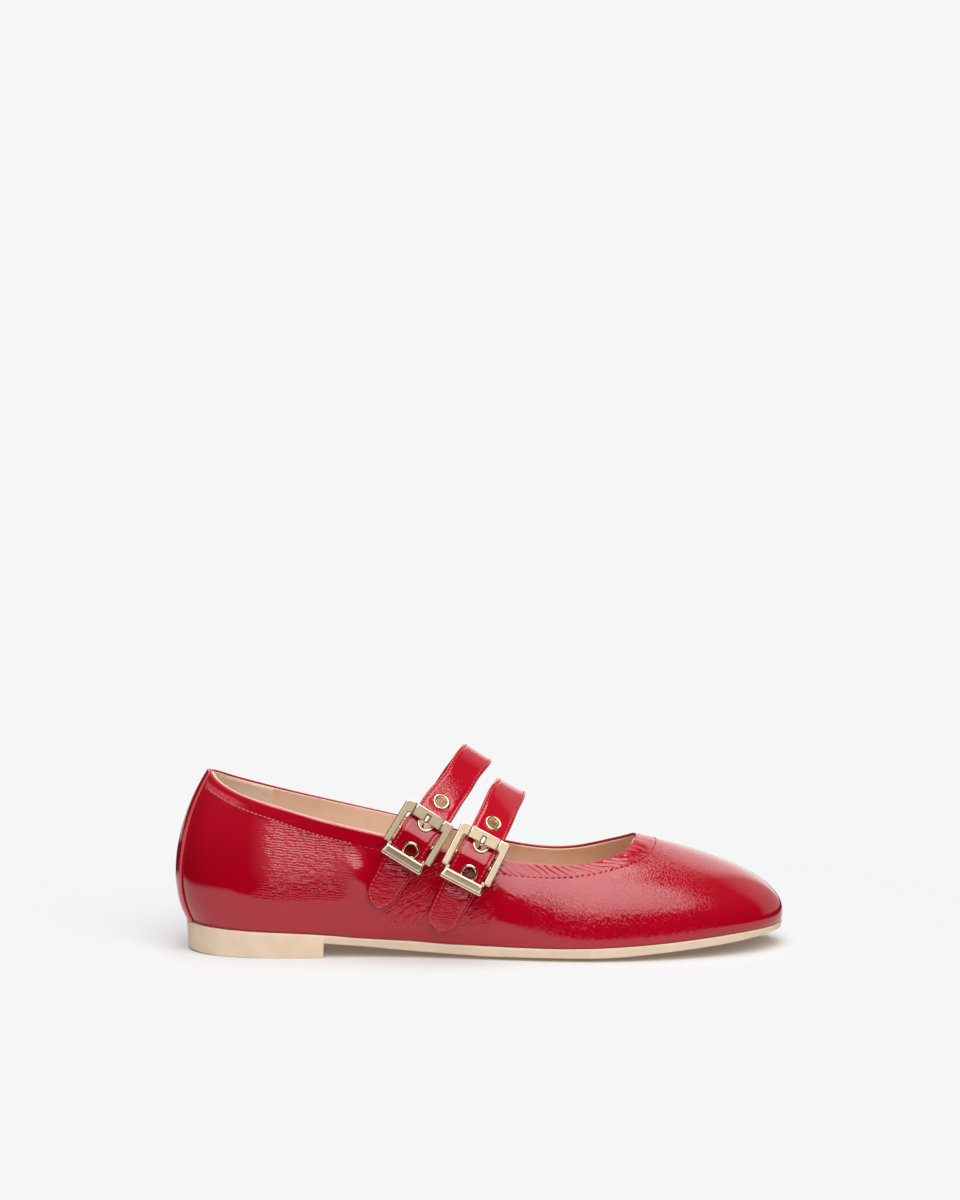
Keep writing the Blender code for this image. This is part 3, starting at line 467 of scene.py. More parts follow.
def ring_faces(levels, count, closed):
    """Quads between rings of count points each; closed joins the last ring to the first."""
    faces = []
    for level in range(levels if closed else levels - 1):
        here, above = level * count, (level + 1) % levels * count
        i = np.arange(count)
        j = (i + 1) % count
        faces.append(np.stack([here + i, here + j, above + j, above + i], axis=1))
    return np.concatenate(faces).tolist()


def tube_mesh(rings):
    """Points and faces of a solid swept through rings [ring][point][xyz] with flat ends."""
    rings = np.asarray(rings)
    levels, count = rings.shape[:2]
    ends = [list(range(start, start + count)) for start in (0, (levels - 1) * count)]
    return rings.reshape(-1, 3), ring_faces(levels, count, False) + ends


def joined(parts):
    """Points and faces of several meshes as one."""
    points, faces, start = [], [], 0
    for part_points, part_faces in parts:
        points.append(np.asarray(part_points, float).reshape(-1, 3))
        faces += [[index + start for index in face] for face in part_faces]
        start += len(points[-1])
    return np.concatenate(points), faces


def paint_mask(piece, name, values):
    """Stores a mask from 0 to 1 on the mesh's points, for its material to read."""
    attribute = piece.data.attributes.new(name, "FLOAT", "POINT")
    filled = np.zeros(len(piece.data.vertices), dtype=np.float32)
    filled[:len(values)] = values
    attribute.data.foreach_set("value", filled)


def satin_flats(piece, axis, level):
    """Gives the faces that are square to an axis the second material, and the third below a level on it."""
    axis = Vector(axis)
    for face in piece.data.polygons:
        flat = 1 if face.center.dot(axis) / MM > level else 2
        face.material_index = flat if face.normal.dot(axis) > 0.99 else 0


def cut(target, tools):
    """Cuts the tools from the target and removes them."""
    for tool in tools:
        change = target.modifiers.new(tool.name, "BOOLEAN")
        change.operation = "DIFFERENCE"
        change.solver = "EXACT"
        change.object = tool
    bpy.context.view_layer.update()
    evaluated = target.evaluated_get(bpy.context.evaluated_depsgraph_get())
    mesh = bpy.data.meshes.new_from_object(evaluated)
    target.modifiers.clear()
    target.data = mesh
    for tool in tools:
        bpy.data.objects.remove(tool, do_unlink=True)


def finished(piece, node_names):
    """Says what a piece rides on and stands for."""
    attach(piece, "root")
    if node_names:
        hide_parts(*node_names)
    return piece


# --- Materials ---


class Tree:
    """A node tree with short ways to add nodes, arithmetic and soft steps."""

    def __init__(self, tree):
        self.nodes, self.links = tree.nodes, tree.links

    def add(self, kind, values=(), **settings):
        """A new node with its settings; values gives a number or a socket for each input."""
        node = self.nodes.new("ShaderNode" + kind)
        for name, setting in settings.items():
            setattr(node, name, setting)
        for label, value in dict(values).items():
            if isinstance(value, bpy.types.NodeSocket):
                self.links.new(value, node.inputs[label])
            else:
                node.inputs[label].default_value = value
        return node

    def math(self, operation, *values):
        return self.add("Math", enumerate(values), operation=operation).outputs[0]

    def product(self, *values):
        total = values[0]
        for value in values[1:]:
            total = self.math("MULTIPLY", total, value)
        return total

    def step(self, value, low, high, start=0.0, end=1.0, kind="SMOOTHSTEP"):
        """Goes from start to end as the value goes from low to high."""
        ranges = {"Value": value, "From Min": low, "From Max": high, "To Min": start, "To Max": end}
        return self.add("MapRange", ranges, interpolation_type=kind).outputs["Result"]


class Surface(Tree):
    """A Principled material with helpers that add noise colour, roughness and bump."""

    def __init__(self, name, **values):
        self.material = bpy.data.materials.new(name)
        self.material.use_nodes = True
        super().__init__(self.material.node_tree)
        self.shader = self.nodes["Principled BSDF"]
        for label, value in values.items():
            socket = self.shader.inputs[label.replace("_", " ")]
            socket.default_value = (*value, 1.0) if isinstance(value, tuple) else value
        self.coordinates = self.add("TexCoord").outputs["Object"]
        self.relief = None

    def texture(self, kind, size, rise, values, **settings):
        """A texture with features of a size (x, y, z) in millimetres, turned by rise degrees."""
        mapping = {"Vector": self.coordinates, "Rotation": (0.0, -math.radians(rise), 0.0),
                   "Scale": tuple(length * MM for length in size)}
        placed = self.add("Mapping", mapping, vector_type="TEXTURE").outputs["Vector"]
        return self.add("Tex" + kind, {"Vector": placed, **values}, **settings).outputs

    def noise(self, size, detail=2.0, stretch=(1.0, 1.0, 1.0)):
        sizes = [size * part for part in stretch]
        return self.texture("Noise", sizes, 0.0, {"Scale": 1.0, "Detail": detail})["Fac"]

    def cells(self, size, feature="F1"):
        """Distance to the nearest of scattered points, a pattern of pebbles or pores."""
        return self.texture("Voronoi", (size,) * 3, 0.0, {"Scale": 1.0}, feature=feature)["Distance"]

    def ripples(self, rise, length, pitch):
        """Broken, wavy and nearly parallel ridges, one every pitch."""
        values = {"Scale": 0.314, "Distortion": 5.0, "Detail": 1.0, "Detail Scale": 1.6}
        return self.texture("Wave", (length, pitch, pitch), rise, values, bands_direction="Z")["Fac"]

    def streaks(self, rise, length, width):
        """Thin wavy ridges."""
        values = {"Scale": 0.55, "Detail": 2.0, "Distortion": 0.35}
        wave = self.texture("Noise", (length, width, width), rise, values)["Fac"]
        away = self.math("ABSOLUTE", self.math("SUBTRACT", wave, 0.5))
        ridge = self.math("MAXIMUM", self.math("MULTIPLY_ADD", away, -7.0, 1.0), 0.0)
        return self.product(ridge, ridge)

    def mask(self, name):
        """A mask painted on the mesh: 1 where it holds, 0 elsewhere."""
        return self.add("Attribute", attribute_name=name).outputs["Fac"]

    def colour(self, value, low, high):
        """Base colour from low to high with the value."""
        ramp = self.add("ValToRGB", {"Fac": value})
        for index, (place, colour) in enumerate(((0.35, low), (0.65, high))):
            element = ramp.color_ramp.elements[index]
            element.position, element.color = place, (*colour, 1.0)
        self.links.new(ramp.outputs["Color"], self.shader.inputs["Base Color"])

    def tinted(self, mask, tint):
        """Turns the colour so far into the tint where the mesh's own mask is 1."""
        base = self.shader.inputs["Base Color"]
        mix = {"Fac": self.mask(mask), "Color1": base.links[0].from_socket, "Color2": (*tint, 1.0)}
        self.links.new(self.add("MixRGB", mix).outputs["Color"], base)

    def roughness(self, value, low, high):
        """Roughness from low to high with the value."""
        self.links.new(self.step(value, 0.3, 0.7, low, high, "LINEAR"), self.shader.inputs["Roughness"])

    def bump(self, value, height, coat=False):
        """Relief of the given height in millimetres, added to the relief so far."""
        values = {"Strength": 1.0, "Distance": height * MM, "Height": value}
        if self.relief is not None:
            values["Normal"] = self.relief
        self.relief = self.add("Bump", values).outputs["Normal"]
        for label in ("Normal", "Coat Normal") if coat else ("Normal",):
            self.links.new(self.relief, self.shader.inputs[label])


NOISE, CELLS, RIPPLES, STREAKS = Surface.noise, Surface.cells, Surface.ripples, Surface.streaks
Crinkle = namedtuple("Crinkle", "mask pattern rise length width height")


def make_patent(name, mask, tint, crinkles):
    """Clear-coated red leather, tinted lighter under one mask as painted light, with a crinkled relief under
    the others.
    """
    surface = Surface(name, Roughness=0.5, Specular_IOR_Level=0.0, Coat_Weight=1.0, Coat_Roughness=0.035,
                      Coat_IOR=1.6)
    surface.colour(surface.noise(26.0, 3.0), (0.402, 0.0, 0.0113), (0.432, 0.0, 0.0132))
    surface.tinted(mask, tint)
    for row in crinkles:
        pattern = row.pattern(surface, row.rise, row.length, row.width)
        surface.bump(surface.product(surface.mask(row.mask), pattern), row.height, coat=True)
    surface.bump(surface.noise(2.6, 3.0), 0.008, coat=True)
    return surface.material


def make_plain(name, shade, low, high, bumps, rough=None, **values):
    """A material between two colours, with its own bumps of (pattern, size and detail, height)."""
    surface = Surface(name, **values)
    surface.colour(surface.noise(*shade), low, high)
    if rough:
        surface.roughness(surface.noise(*rough[:2]), *rough[2:])
    for pattern, sizes, height in bumps:
        surface.bump(pattern(surface, *sizes), height)
    return surface.material


def make_gold(name, low, high, smoothest, roughest):
    return make_plain(name, (4.0, 2.0), low, high, ((NOISE, (0.8, 2.0), 0.0006),),
                      (1.5, 3.0, smoothest, roughest), Metallic=1.0)


def make_thread(name, low, high):
    return make_plain(name, (0.8, 2.0), low, high, ((NOISE, (0.15, 2.0, (1.0, 3.0, 1.0)), 0.03),),
                      Roughness=0.6, Specular_IOR_Level=0.3, Sheen_Weight=0.08, Sheen_Roughness=0.4)


# The pink tint of the patent leather is a painted highlight, laid on its rolled edges and on patches of the
# heel and the quarter.
PATENT = make_patent("patent_leather", "painted_highlight", (0.68, 0.10, 0.12), (
    Crinkle("quarter", RIPPLES, -4.0, 1.6, 1.05, 0.074),
    Crinkle("quarter", STREAKS, -8.0, 2.0, 0.5, 0.014),
    Crinkle("collar", STREAKS, 14.0, 1.8, 0.7, 0.014),
    Crinkle("folds", STREAKS, 40.0, 5.0, 1.2, 0.090),
    Crinkle("folds", STREAKS, 30.0, 2.6, 0.8, 0.040),
    Crinkle("throat", STREAKS, -34.0, 5.0, 1.3, 0.018),
    Crinkle("vamp", STREAKS, -62.0, 1.6, 0.6, 0.031),
    Crinkle("vamp", STREAKS, 10.0, 3.4, 1.2, 0.005),
    Crinkle("heel_patch", STREAKS, -20.0, 2.6, 1.1, 0.040),
))
# The strap leather's lighter tint over its free stretch is painted light.
STRAP_PATENT = make_patent("strap_patent", "free", (0.64, 0.004, 0.022), (
    Crinkle("tail", RIPPLES, -10.0, 2.2, 0.95, 0.058),
    Crinkle("tail", STREAKS, -14.0, 2.0, 0.6, 0.018),
    Crinkle("patch", STREAKS, 24.0, 2.0, 0.8, 0.050),
    Crinkle("patch", STREAKS, -30.0, 1.6, 0.6, 0.020),
))
GOLD = make_gold("buckle_gold", (0.86, 0.74, 0.55), (0.90, 0.78, 0.59), 0.08, 0.14)
SATIN_GOLD = make_gold("buckle_satin_gold", (0.56, 0.43, 0.295), (0.60, 0.465, 0.32), 0.42, 0.48)
PANEL_GOLD = make_gold("keeper_panel_gold", (0.30, 0.23, 0.155), (0.34, 0.26, 0.18), 0.45, 0.52)
EYELET_GOLD = make_gold("eyelet_gold", (0.86, 0.72, 0.48), (0.90, 0.76, 0.52), 0.1, 0.16)
RUBBER = make_plain(
    "sole_rubber", (9.0, 3.0), (0.792, 0.606, 0.449), (0.852, 0.662, 0.496),
    ((NOISE, (0.5, 2.0), 0.018), (CELLS, (0.35,), 0.006)), (3.0, 2.0, 0.46, 0.62), Specular_IOR_Level=0.35,
)
LINING = make_plain(
    "lining_leather", (9.0, 3.0), (0.83, 0.595, 0.437), (0.885, 0.648, 0.49),
    ((CELLS, (0.55, "SMOOTH_F1"), 0.035), (NOISE, (5.0, 3.0), 0.1)), (2.0, 2.0, 0.5, 0.68),
    Specular_IOR_Level=0.35,
)
SUEDE = make_plain(
    "suede_grip", (1.6, 5.0), (0.86, 0.70, 0.57), (0.94, 0.79, 0.66), ((NOISE, (0.28, 3.0), 0.06),),
    Roughness=0.95, Specular_IOR_Level=0.15, Sheen_Weight=0.35, Sheen_Roughness=0.5,
    Sheen_Tint=(0.9, 0.8, 0.65),
)
THREAD = make_thread("red_thread", (0.46, 0.004, 0.014), (0.60, 0.02, 0.03))
# Painted highlights: the strap thread and the heel thread are red thread lightened towards pink.
STRAP_THREAD = make_thread("strap_thread", (0.60, 0.05, 0.06), (0.74, 0.09, 0.10))
HIGHLIT_HEEL_THREAD = make_thread("heel_thread_painted_highlight", (0.56, 0.05, 0.065), (0.72, 0.12, 0.13))


# --- Upper ---

LEATHER = 0.9
LINING_GAP = 0.2
STITCH_DEPTH = 6.5
STITCH_DEPTH_HEEL = 5.5
STITCH_DEPTH_THROAT = 8.7
UPPER_COLUMNS = 880
UPPER_ROWS = 92
LINING_COLUMNS = 440
LINING_ROWS = 48
ROLL_POINTS = 9


def topline_travel(grid):
    """Distance along the topline from the middle of the heel to each column."""
    steps = np.linalg.norm(np.roll(grid[-1], -1, axis=0) - grid[-1], axis=1)
    return np.concatenate([[0.0], np.cumsum(steps)[:-1]])


def depth_below_topline(grid):
    """Distance down each rib from the topline to every point of the grid."""
    steps = np.linalg.norm(np.diff(grid, axis=0), axis=2)
    return np.concatenate([np.cumsum(steps[::-1], axis=0)[::-1], np.zeros((1, grid.shape[1]))])


def down_ribs(row, grid):
    """One value for every point of the grid, from one value for every rib."""
    return np.broadcast_to(row, grid.shape[:2]).ravel()


COLLAR_PUSH = 1.1
COLLAR_REACH = 15.0
SIDE_BULGE = 0.9
FOOT_BULGE = 1.0
HUMP = 1.7
DEEP = 99.0


def upper_grid(at, heights):
    """Outer face of the upper: the ribs, a steeper collar and low bulges at the waist and the forefoot."""
    grid = rib_grid(at, heights)
    share = np.clip(1.0 - depth_below_topline(grid) / COLLAR_REACH, 0.0, 1.0)
    push = COLLAR_PUSH * share * share * window(grid[-1, :, 0], 34.0, 92.0, 14.0)
    waist = window(grid[:, :, 0], 78.0, 110.0, 18.0) * smooth(-grid[:, :, 1] / 20.0)
    push += SIDE_BULGE * waist * bell(grid[:, :, 2] - 11.5, 11.0)
    over_foot = grid[:, :, 2] - grid[0, :, 2]
    push += FOOT_BULGE * window(grid[:, :, 0], 168.0, 300.0, 25.0) * bell(over_foot - 0.5, 8.0)
    outward = plan_loop(at)[1]
    return grid + push[:, :, None] * np.column_stack([outward, 0.0 * outward[:, 0]])


def stitch_depth(top_x):
    """How far the seam runs below the topline; it moves away from the edge at the throat."""
    heel = (STITCH_DEPTH_HEEL - STITCH_DEPTH) * smooth((62.0 - top_x) / 30.0)
    return STITCH_DEPTH + heel + (STITCH_DEPTH_THROAT - STITCH_DEPTH) * smooth((top_x - 160.0) / 26.0)


def upper_zones(grid):
    """Masks of the crinkled zones of the upper, by name, for the relief and for the leather's material."""
    x, y, z = grid.reshape(-1, 3).T
    depth = depth_below_topline(grid).ravel()
    top_x = down_ribs(grid[-1, :, 0], grid)
    seam = stitch_depth(top_x)

    def under_seam(gap, soft):
        return window(depth, seam + gap, DEEP, soft)

    across_quarter = smooth((x - 30.0) / 13.0) * window(x + 0.35 * (40.0 - z), 0.0, 70.0, 9.0)
    return {
        "quarter": across_quarter * window(z, 28.0, 60.0, 6.0) * under_seam(2.5, 2.5),
        "collar": window(top_x, 48.0, 84.0, 10.0) * window(depth, 1.8, seam - 0.8, 0.8) * (y < 0.0),
        "folds": window(x, 90.0, 124.0, 9.0) * window(z, 15.0, 45.0, 7.0) * under_seam(1.0, 2.0),
        "throat": window(x, 138.0, 200.0, 12.0) * window(depth, seam + 1.0, seam + 12.0, 5.0),
        "vamp": window(x, 150.0, 212.0, 16.0) * window(z, 12.0, 60.0, 6.0) * under_seam(1.0, 3.0),
        "heel_patch": window(top_x, 12.0, 26.0, 6.0) * window(depth, 3.3, 5.6, 0.5),
    }


def upper_relief(grid):
    """Height in millimetres of the seam, puckers and soft folds over the smooth upper."""
    points = grid.reshape(-1, 3)
    x, y, z = points.T
    depth = depth_below_topline(grid).ravel()
    top_x = down_ribs(grid[-1, :, 0], grid)
    travel = down_ribs(topline_travel(grid), grid)
    seam = stitch_depth(top_x)
    zones = upper_zones(grid)

    # Padded edge over the seam, and the seam's own valley.
    height = 0.03 * window(depth, 1.2, seam - 2.0, 1.6) - 0.10 * bell(depth - seam, 0.55)

    # Puckers between the topline and the seam, strongest where the throat turns.
    gather = window(top_x, 126.0, 184.0, 8.0) * (0.85 + 0.15 * window(top_x, 166.0, 180.0, 12.0))
    wobble = noise(np.column_stack([travel / 7.0, depth / 9.0, 0.0 * x]), 3)
    wave = np.sin(2.0 * math.pi * (travel - 1.1 * depth) / 3.6 + 2.6 * wobble)
    height += 0.17 * gather * wave * window(depth, 1.6, seam - 1.2, 1.4)

    # Soft folds: level along the quarter, curved up to the right below the straps, down across the vamp.
    height -= 0.02 * zones["quarter"] * creases(streaks(points, -4.0, 12.0, 3.4, 11), 2.0)
    height -= 0.065 * zones["folds"] * creases(streaks(points, 38.0, 13.0, 3.6, 21), 1.8)
    height -= 0.018 * zones["throat"] * creases(streaks(points, -35.0, 8.0, 2.6, 31), 2.0)
    height -= 0.012 * zones["vamp"] * creases(streaks(points, 4.0, 10.0, 3.4, 42), 2.0)

    # A low hump beside the buckle of the rear strap, longer below than above.
    above = z - 35.6 + 0.3 * (x - 74.0)
    hump = bell(x - 74.0, 5.2) * bell(above, np.where(above > 0.0, 4.8, 9.0))
    height += HUMP * hump * (y < 0.0)

    # Very soft unevenness all over.
    height += 0.05 * noise(points / 15.0, 51) + 0.006 * noise(points / 4.0, 52)
    return height.reshape(grid.shape[:2]) * smooth((grid[:, :, 2] - 12.0) / 6.0 + 0.4)


def shell_rings(grid, normal, relief, offset, thickness, drop, inner_rows):
    """Rings of a leather layer: its outer face, a rolled edge at the topline, and its inner face."""
    radius = thickness / 2.0
    lean = units(grid[-1] - grid[-3])
    outer = grid + normal * (relief - offset)[:, :, None]
    depth = depth_below_topline(grid)
    drop = np.broadcast_to(drop, depth.shape[1:])
    lowest = float(drop.max()) + radius
    keep = int(np.argmax(depth.min(axis=1) < lowest)) if lowest > 0.0 else len(grid)
    centre = grid[-1] - normal[-1] * (offset + radius) - lean * (drop + radius)[:, None]
    roll = [centre + radius * (normal[-1] * math.cos(angle) + lean * math.sin(angle))
            for angle in np.linspace(0.0, math.pi, ROLL_POINTS)]
    rows = np.linspace(keep - 2, 0, inner_rows).astype(int)
    inside = grid[rows] - normal[rows] * (offset + thickness)
    inside[-1, :, 2] = grid[0, :, 2]
    return np.concatenate([outer[:keep], np.array(roll), inside])


def make_upper():
    """The outer leather, with masks of its crinkled zones and of the painted highlight for the material."""
    at = np.linspace(0.0, 2.0 * HALF_ROUND, UPPER_COLUMNS, endpoint=False)
    grid = upper_grid(at, np.linspace(0.0, 1.0, UPPER_ROWS))
    inner_rows = 8
    rings = shell_rings(grid, grid_normals(grid), upper_relief(grid), 0.0, LEATHER, 0.0, inner_rows)
    count = rings.shape[1]
    piece = mesh_of("upper_leather", rings, ring_faces(len(rings), count, True), [PATENT])
    kept = (len(rings) - ROLL_POINTS - inner_rows) * count
    zones = upper_zones(grid)
    for name, values in zones.items():
        paint_mask(piece, name, values[:kept])
    # Painted highlight: a pink tint over the heel patch, broken into streaks, over the upper part of the
    # crinkled quarter and along the lateral side's rolled topline edge.
    highlight_streaks = creases(streaks(grid.reshape(-1, 3), -22.0, 2.2, 0.8, 13), 1.6)
    highlight_patches = zones["heel_patch"] * (0.3 + 0.5 * highlight_streaks)
    highlight_patches += 0.35 * zones["quarter"] * smooth((grid[:, :, 2].ravel() - 28.0) / 12.0)
    edge = np.tile(0.55 * smooth(0.5 - grid[-1, :, 1] / 10.0), ROLL_POINTS)
    paint_mask(piece, "painted_highlight", np.concatenate([highlight_patches[:kept], edge]))
    finished(piece, ["upper"])


def make_lining():
    """Leather lining with a rolled edge, which stands a little over the outer leather on the lateral side."""
    at = np.linspace(0.0, 2.0 * HALF_ROUND, LINING_COLUMNS, endpoint=False)
    grid = upper_grid(at, np.linspace(0.0, 1.0, LINING_ROWS))
    normal = grid_normals(grid)
    offset = LEATHER + LINING_GAP
    thickness = WALL - offset
    drop = 0.45 - 0.90 * smooth(0.5 - grid[-1, :, 1] / 10.0)
    inner_rows = LINING_ROWS - 4
    rings = shell_rings(grid, normal, np.zeros(grid.shape[:2]), offset, thickness, drop, inner_rows)
    inner = rings[-inner_rows:]
    points = inner.reshape(-1, 3)
    rise = 0.06 * noise(points / 16.0, 61) + 0.03 * noise(points / 6.0, 62)
    rows = np.linspace(LINING_ROWS - 2, 0, inner_rows).astype(int)
    rings[-inner_rows:] += normal[rows] * rise.reshape(inner.shape[:2])[:, :, None]
    piece = mesh_of("upper_lining", rings, ring_faces(len(rings), rings.shape[1], True), [LINING])
    finished(piece, [])


HEEL_GRIP_FRONT = 40.0
HEEL_GRIP_THICKNESS = 0.55
HEEL_GRIP_ROUND = 0.28


def make_heel_grip():
    """Suede pad inside the heel, with straight front edges."""
    side = np.linspace(0.0, HALF_ROUND, 600)
    reach = np.interp(HEEL_GRIP_FRONT, periodic_spline(KNOTS, VALUES, side)[:, 2], side)
    at = np.linspace(-reach, reach, 150)
    grid = upper_grid(at, np.linspace(0.12, 1.0, 50))
    normal = units(np.cross(np.gradient(grid, axis=1), np.gradient(grid, axis=0)))
    keep = depth_below_topline(grid).min(axis=1) > 0.5
    grid, normal = grid[keep], normal[keep]
    outward = np.sign(np.sum(normal[0] * (grid[0] - grid.mean(axis=(0, 1))), axis=1))[None, :, None]
    normal = normal * outward
    base = WALL + 0.02
    middle = base + HEEL_GRIP_ROUND
    rings = []
    for column in range(grid.shape[1]):
        near, far = grid[:, column], normal[:, column]
        face = near - far * (base + HEEL_GRIP_THICKNESS)
        back = near - far * base
        top = near[-1] - far[-1] * middle + unit(near[-1] - near[-3]) * HEEL_GRIP_ROUND
        bottom = near[0] - far[0] * middle
        rings.append(np.concatenate([face, [top], back[::-1], [bottom]]))
    points, faces = tube_mesh(rings)
    finished(mesh_of("heel_grip", points, faces, [SUEDE], sharp=60.0), [])


# Width of the back strip at heights over the floor, as a share of its width in the solid.
STRIP_HEIGHTS = (10.0, 14.0, 26.0, 45.0, 60.0, 72.0)
STRIP_SHARES = (1.20, 1.17, 1.03, 1.06, 0.95, 0.85)
STRIP_ROLL = 0.55


def make_back_strip():
    """Raised strip over the heel seam, with rolled sides and a valley just inside them."""
    half = BACK_STRIP_HALF
    across = np.concatenate([
        np.linspace(-half, -half + 1.6, 9), np.linspace(-half + 2.0, half - 2.0, 25),
        np.linspace(half - 1.6, half, 9),
    ])
    at = np.concatenate([[across[0] - 2.0], across, [across[-1] + 2.0]])
    wide = np.linspace(-half - 5.0, half + 5.0, 71)
    whole = upper_grid(wide, np.linspace(0.0, 0.99, 120))
    share = np.interp(whole[:, len(wide) // 2, 2], STRIP_HEIGHTS, STRIP_SHARES)
    grid = np.array([[between(place * part, wide, row) for place in at] for part, row in zip(share, whole)])
    normal = units(np.cross(np.gradient(grid, axis=1), np.gradient(grid, axis=0)))
    grid, normal = grid[:, 1:-1], normal[:, 1:-1]
    normal *= np.sign(-normal[:, :, :1].mean())
    edge = half - np.abs(across)
    from_flat = 1.0 - np.clip(edge / STRIP_ROLL, 0.0, 1.0)
    crown = BACK_STRIP_THICKNESS * np.sqrt(1.0 - from_flat**2)
    crown -= 0.16 * bell(edge - 1.6, 0.4)
    bumps = 0.04 * noise(grid.reshape(-1, 3) / 9.0, 71).reshape(grid.shape[:2])
    face = grid + normal * (GAP + crown[None, :] + bumps)[:, :, None]
    back = grid + normal * (GAP - 0.12)
    foot = open_spline(RIM, grid[0, :, 0]) + GAP
    face[0, :, 2] = foot
    back[0, :, 2] = foot
    rings = [np.concatenate([face[row], back[row][::-1]]) for row in range(len(grid))]
    # Painted highlight: a pink tint along both rolled sides of the strip.
    edge_highlight = np.concatenate([0.85 * window(edge, 0.05, 0.6, 0.2), 0.0 * edge])
    roll_centre = grid[-1] + normal[-1] * GAP
    lean = units(grid[-1] - grid[-3])
    for angle in (0.5, 1.0, 1.35):
        pull, lift = math.cos(angle), 0.35 * math.sin(angle)
        near = roll_centre + (face[-1] - roll_centre) * pull + lean * lift
        far = roll_centre + (back[-1] - roll_centre) * pull + lean * lift
        rings.append(np.concatenate([near, far[::-1]]))
    points, faces = tube_mesh(rings)
    strip = mesh_of("back_strip_leather", points, faces, [PATENT], sharp=70.0)
    paint_mask(strip, "painted_highlight", np.tile(edge_highlight, len(rings)))
    finished(strip, ["back_strip"])


# --- Sole and insole ---


def rung_faces(ring_start, half, rungs, points, height):
    """Faces that close a ring with rungs from side to side; height(x, share from the edge) shapes them."""
    count = 2 * half
    rows, faces = [], []
    for j in range(1, half):
        lateral, medial = ring_start + j, ring_start + count - j
        row = [lateral]
        for k in range(1, rungs):
            share = k / rungs
            x, y, _ = points[lateral] * (1 - share) + points[medial] * share
            edge = min(share, 1.0 - share)
            points.append(np.array((x, y, height(x, edge))))
            row.append(len(points) - 1)
        row.append(medial)
        rows.append(row)
    for here, ahead in zip(rows, rows[1:]):
        for k in range(rungs):
            faces.append([here[k], ahead[k], ahead[k + 1], here[k + 1]])
    for k in range(rungs):
        faces.append([ring_start, rows[0][k], rows[0][k + 1]])
        faces.append([ring_start + half, rows[-1][k + 1], rows[-1][k]])
    return faces


def layered(plan, normal, layers, rungs, top, bottom):
    """Points and faces of a solid through the plan's outline at layers (inset, height), from the top down."""
    rings = np.array([np.column_stack([plan - normal * inset_by, z]) for inset_by, z in layers])
    levels, count = rings.shape[:2]
    points = list(rings.reshape(-1, 3))
    faces = ring_faces(levels, count, False)
    faces += rung_faces(0, count // 2, rungs, points, top)
    faces += rung_faces((levels - 1) * count, count // 2, rungs, points, bottom)
    return np.array(points), faces


SOLE_SIDE_POINTS = 331
SOLE_RUNGS = 24
SOLE_CORNER = 0.45
HEEL_LIFT = 1.6
HEEL_LIFT_END = 22.0
BREAST_LINES = (-0.35, -0.12, 0.12, 0.35)


def make_outsole():
    """One-piece moulded sole: rounded rim and bottom edge, a square heel breast and a crowned underside."""
    breast = place_of_x(BREAST_X)
    side = np.linspace(0.0, HALF_ROUND, SOLE_SIDE_POINTS)
    side = [place for place in side if abs(place - breast) > 0.5]
    side = sorted(side + [breast + line for line in BREAST_LINES])
    at = both_sides(side)
    plan, normal = plan_loop(at)
    under_heel = plan[:, 0] < BREAST_X
    high = open_spline(RIM, plan[:, 0])
    heel_lift = HEEL_LIFT * smooth((HEEL_LIFT_END - plan[:, 0]) / 30.0)
    low = np.where(under_heel, heel_lift, open_spline(UNDERSIDE, plan[:, 0]))
    rise = np.where(under_heel, 0.0, CROWN_RISE)
    foot = low + rise
    layers = [(2.0, high), (1.0, high)]
    layers += [(inset_by, high - down) for down, inset_by in rounding(SOLE_CORNER)]
    layers += [(SOLE_WALL_DRAFT * share, (high - SOLE_CORNER) * (1.0 - share) + (foot + SOLE_EDGE) * share)
               for share in (0.2, 0.4, 0.6, 0.8)]
    layers += [(SOLE_WALL_DRAFT + inset_by, foot + up) for inset_by, up in rounding(SOLE_EDGE)]
    layers += [(SOLE_WALL_DRAFT + SOLE_EDGE + (CROWN_WIDTH - SOLE_EDGE) * share, low + rise * (1.0 - share))
               for share in (0.3, 0.6, 1.0)]

    def top(x, edge):
        return float(open_spline(RIM, x))

    def bottom(x, edge):
        return 0.0 if x < BREAST_X else float(open_spline(UNDERSIDE, x))

    points, faces = layered(plan + normal * RIM_STEP, normal, layers, SOLE_RUNGS, top, bottom)
    finished(mesh_of("moulded_sole", points, faces, [RUBBER], sharp=50.0), ["outsole"])


INSOLE_SIDE_POINTS = 181
INSOLE_RUNGS = 20
INSOLE_CORNER = 0.8
INSOLE_CROWN = 0.25


def make_insole():
    """Leather insole that covers the foot bed, softly raised along its edge."""
    at = both_sides(np.linspace(0.0, HALF_ROUND, INSOLE_SIDE_POINTS))
    plan, normal = plan_loop(at)
    base = open_spline(RIM, plan[:, 0]) + GAP
    start = WALL + 0.1

    def bottom(x, edge):
        return float(open_spline(RIM, x)) + GAP

    def top(x, edge):
        return bottom(x, edge) + INSOLE_THICKNESS + INSOLE_CROWN * math.sin(math.pi * edge)

    high = base + INSOLE_THICKNESS
    layers = [(start + 7.0, high), (start + 3.5, high + 0.15)]
    layers += [(start + inset_by, high - down) for inset_by, down in rounding(INSOLE_CORNER)[::-1]]
    layers.append((start, base))
    points, faces = layered(plan, normal, layers, INSOLE_RUNGS, top, bottom)
    finished(mesh_of("insole_leather", points, faces, [LINING], sharp=50.0), ["insole"])


# --- Straps ---

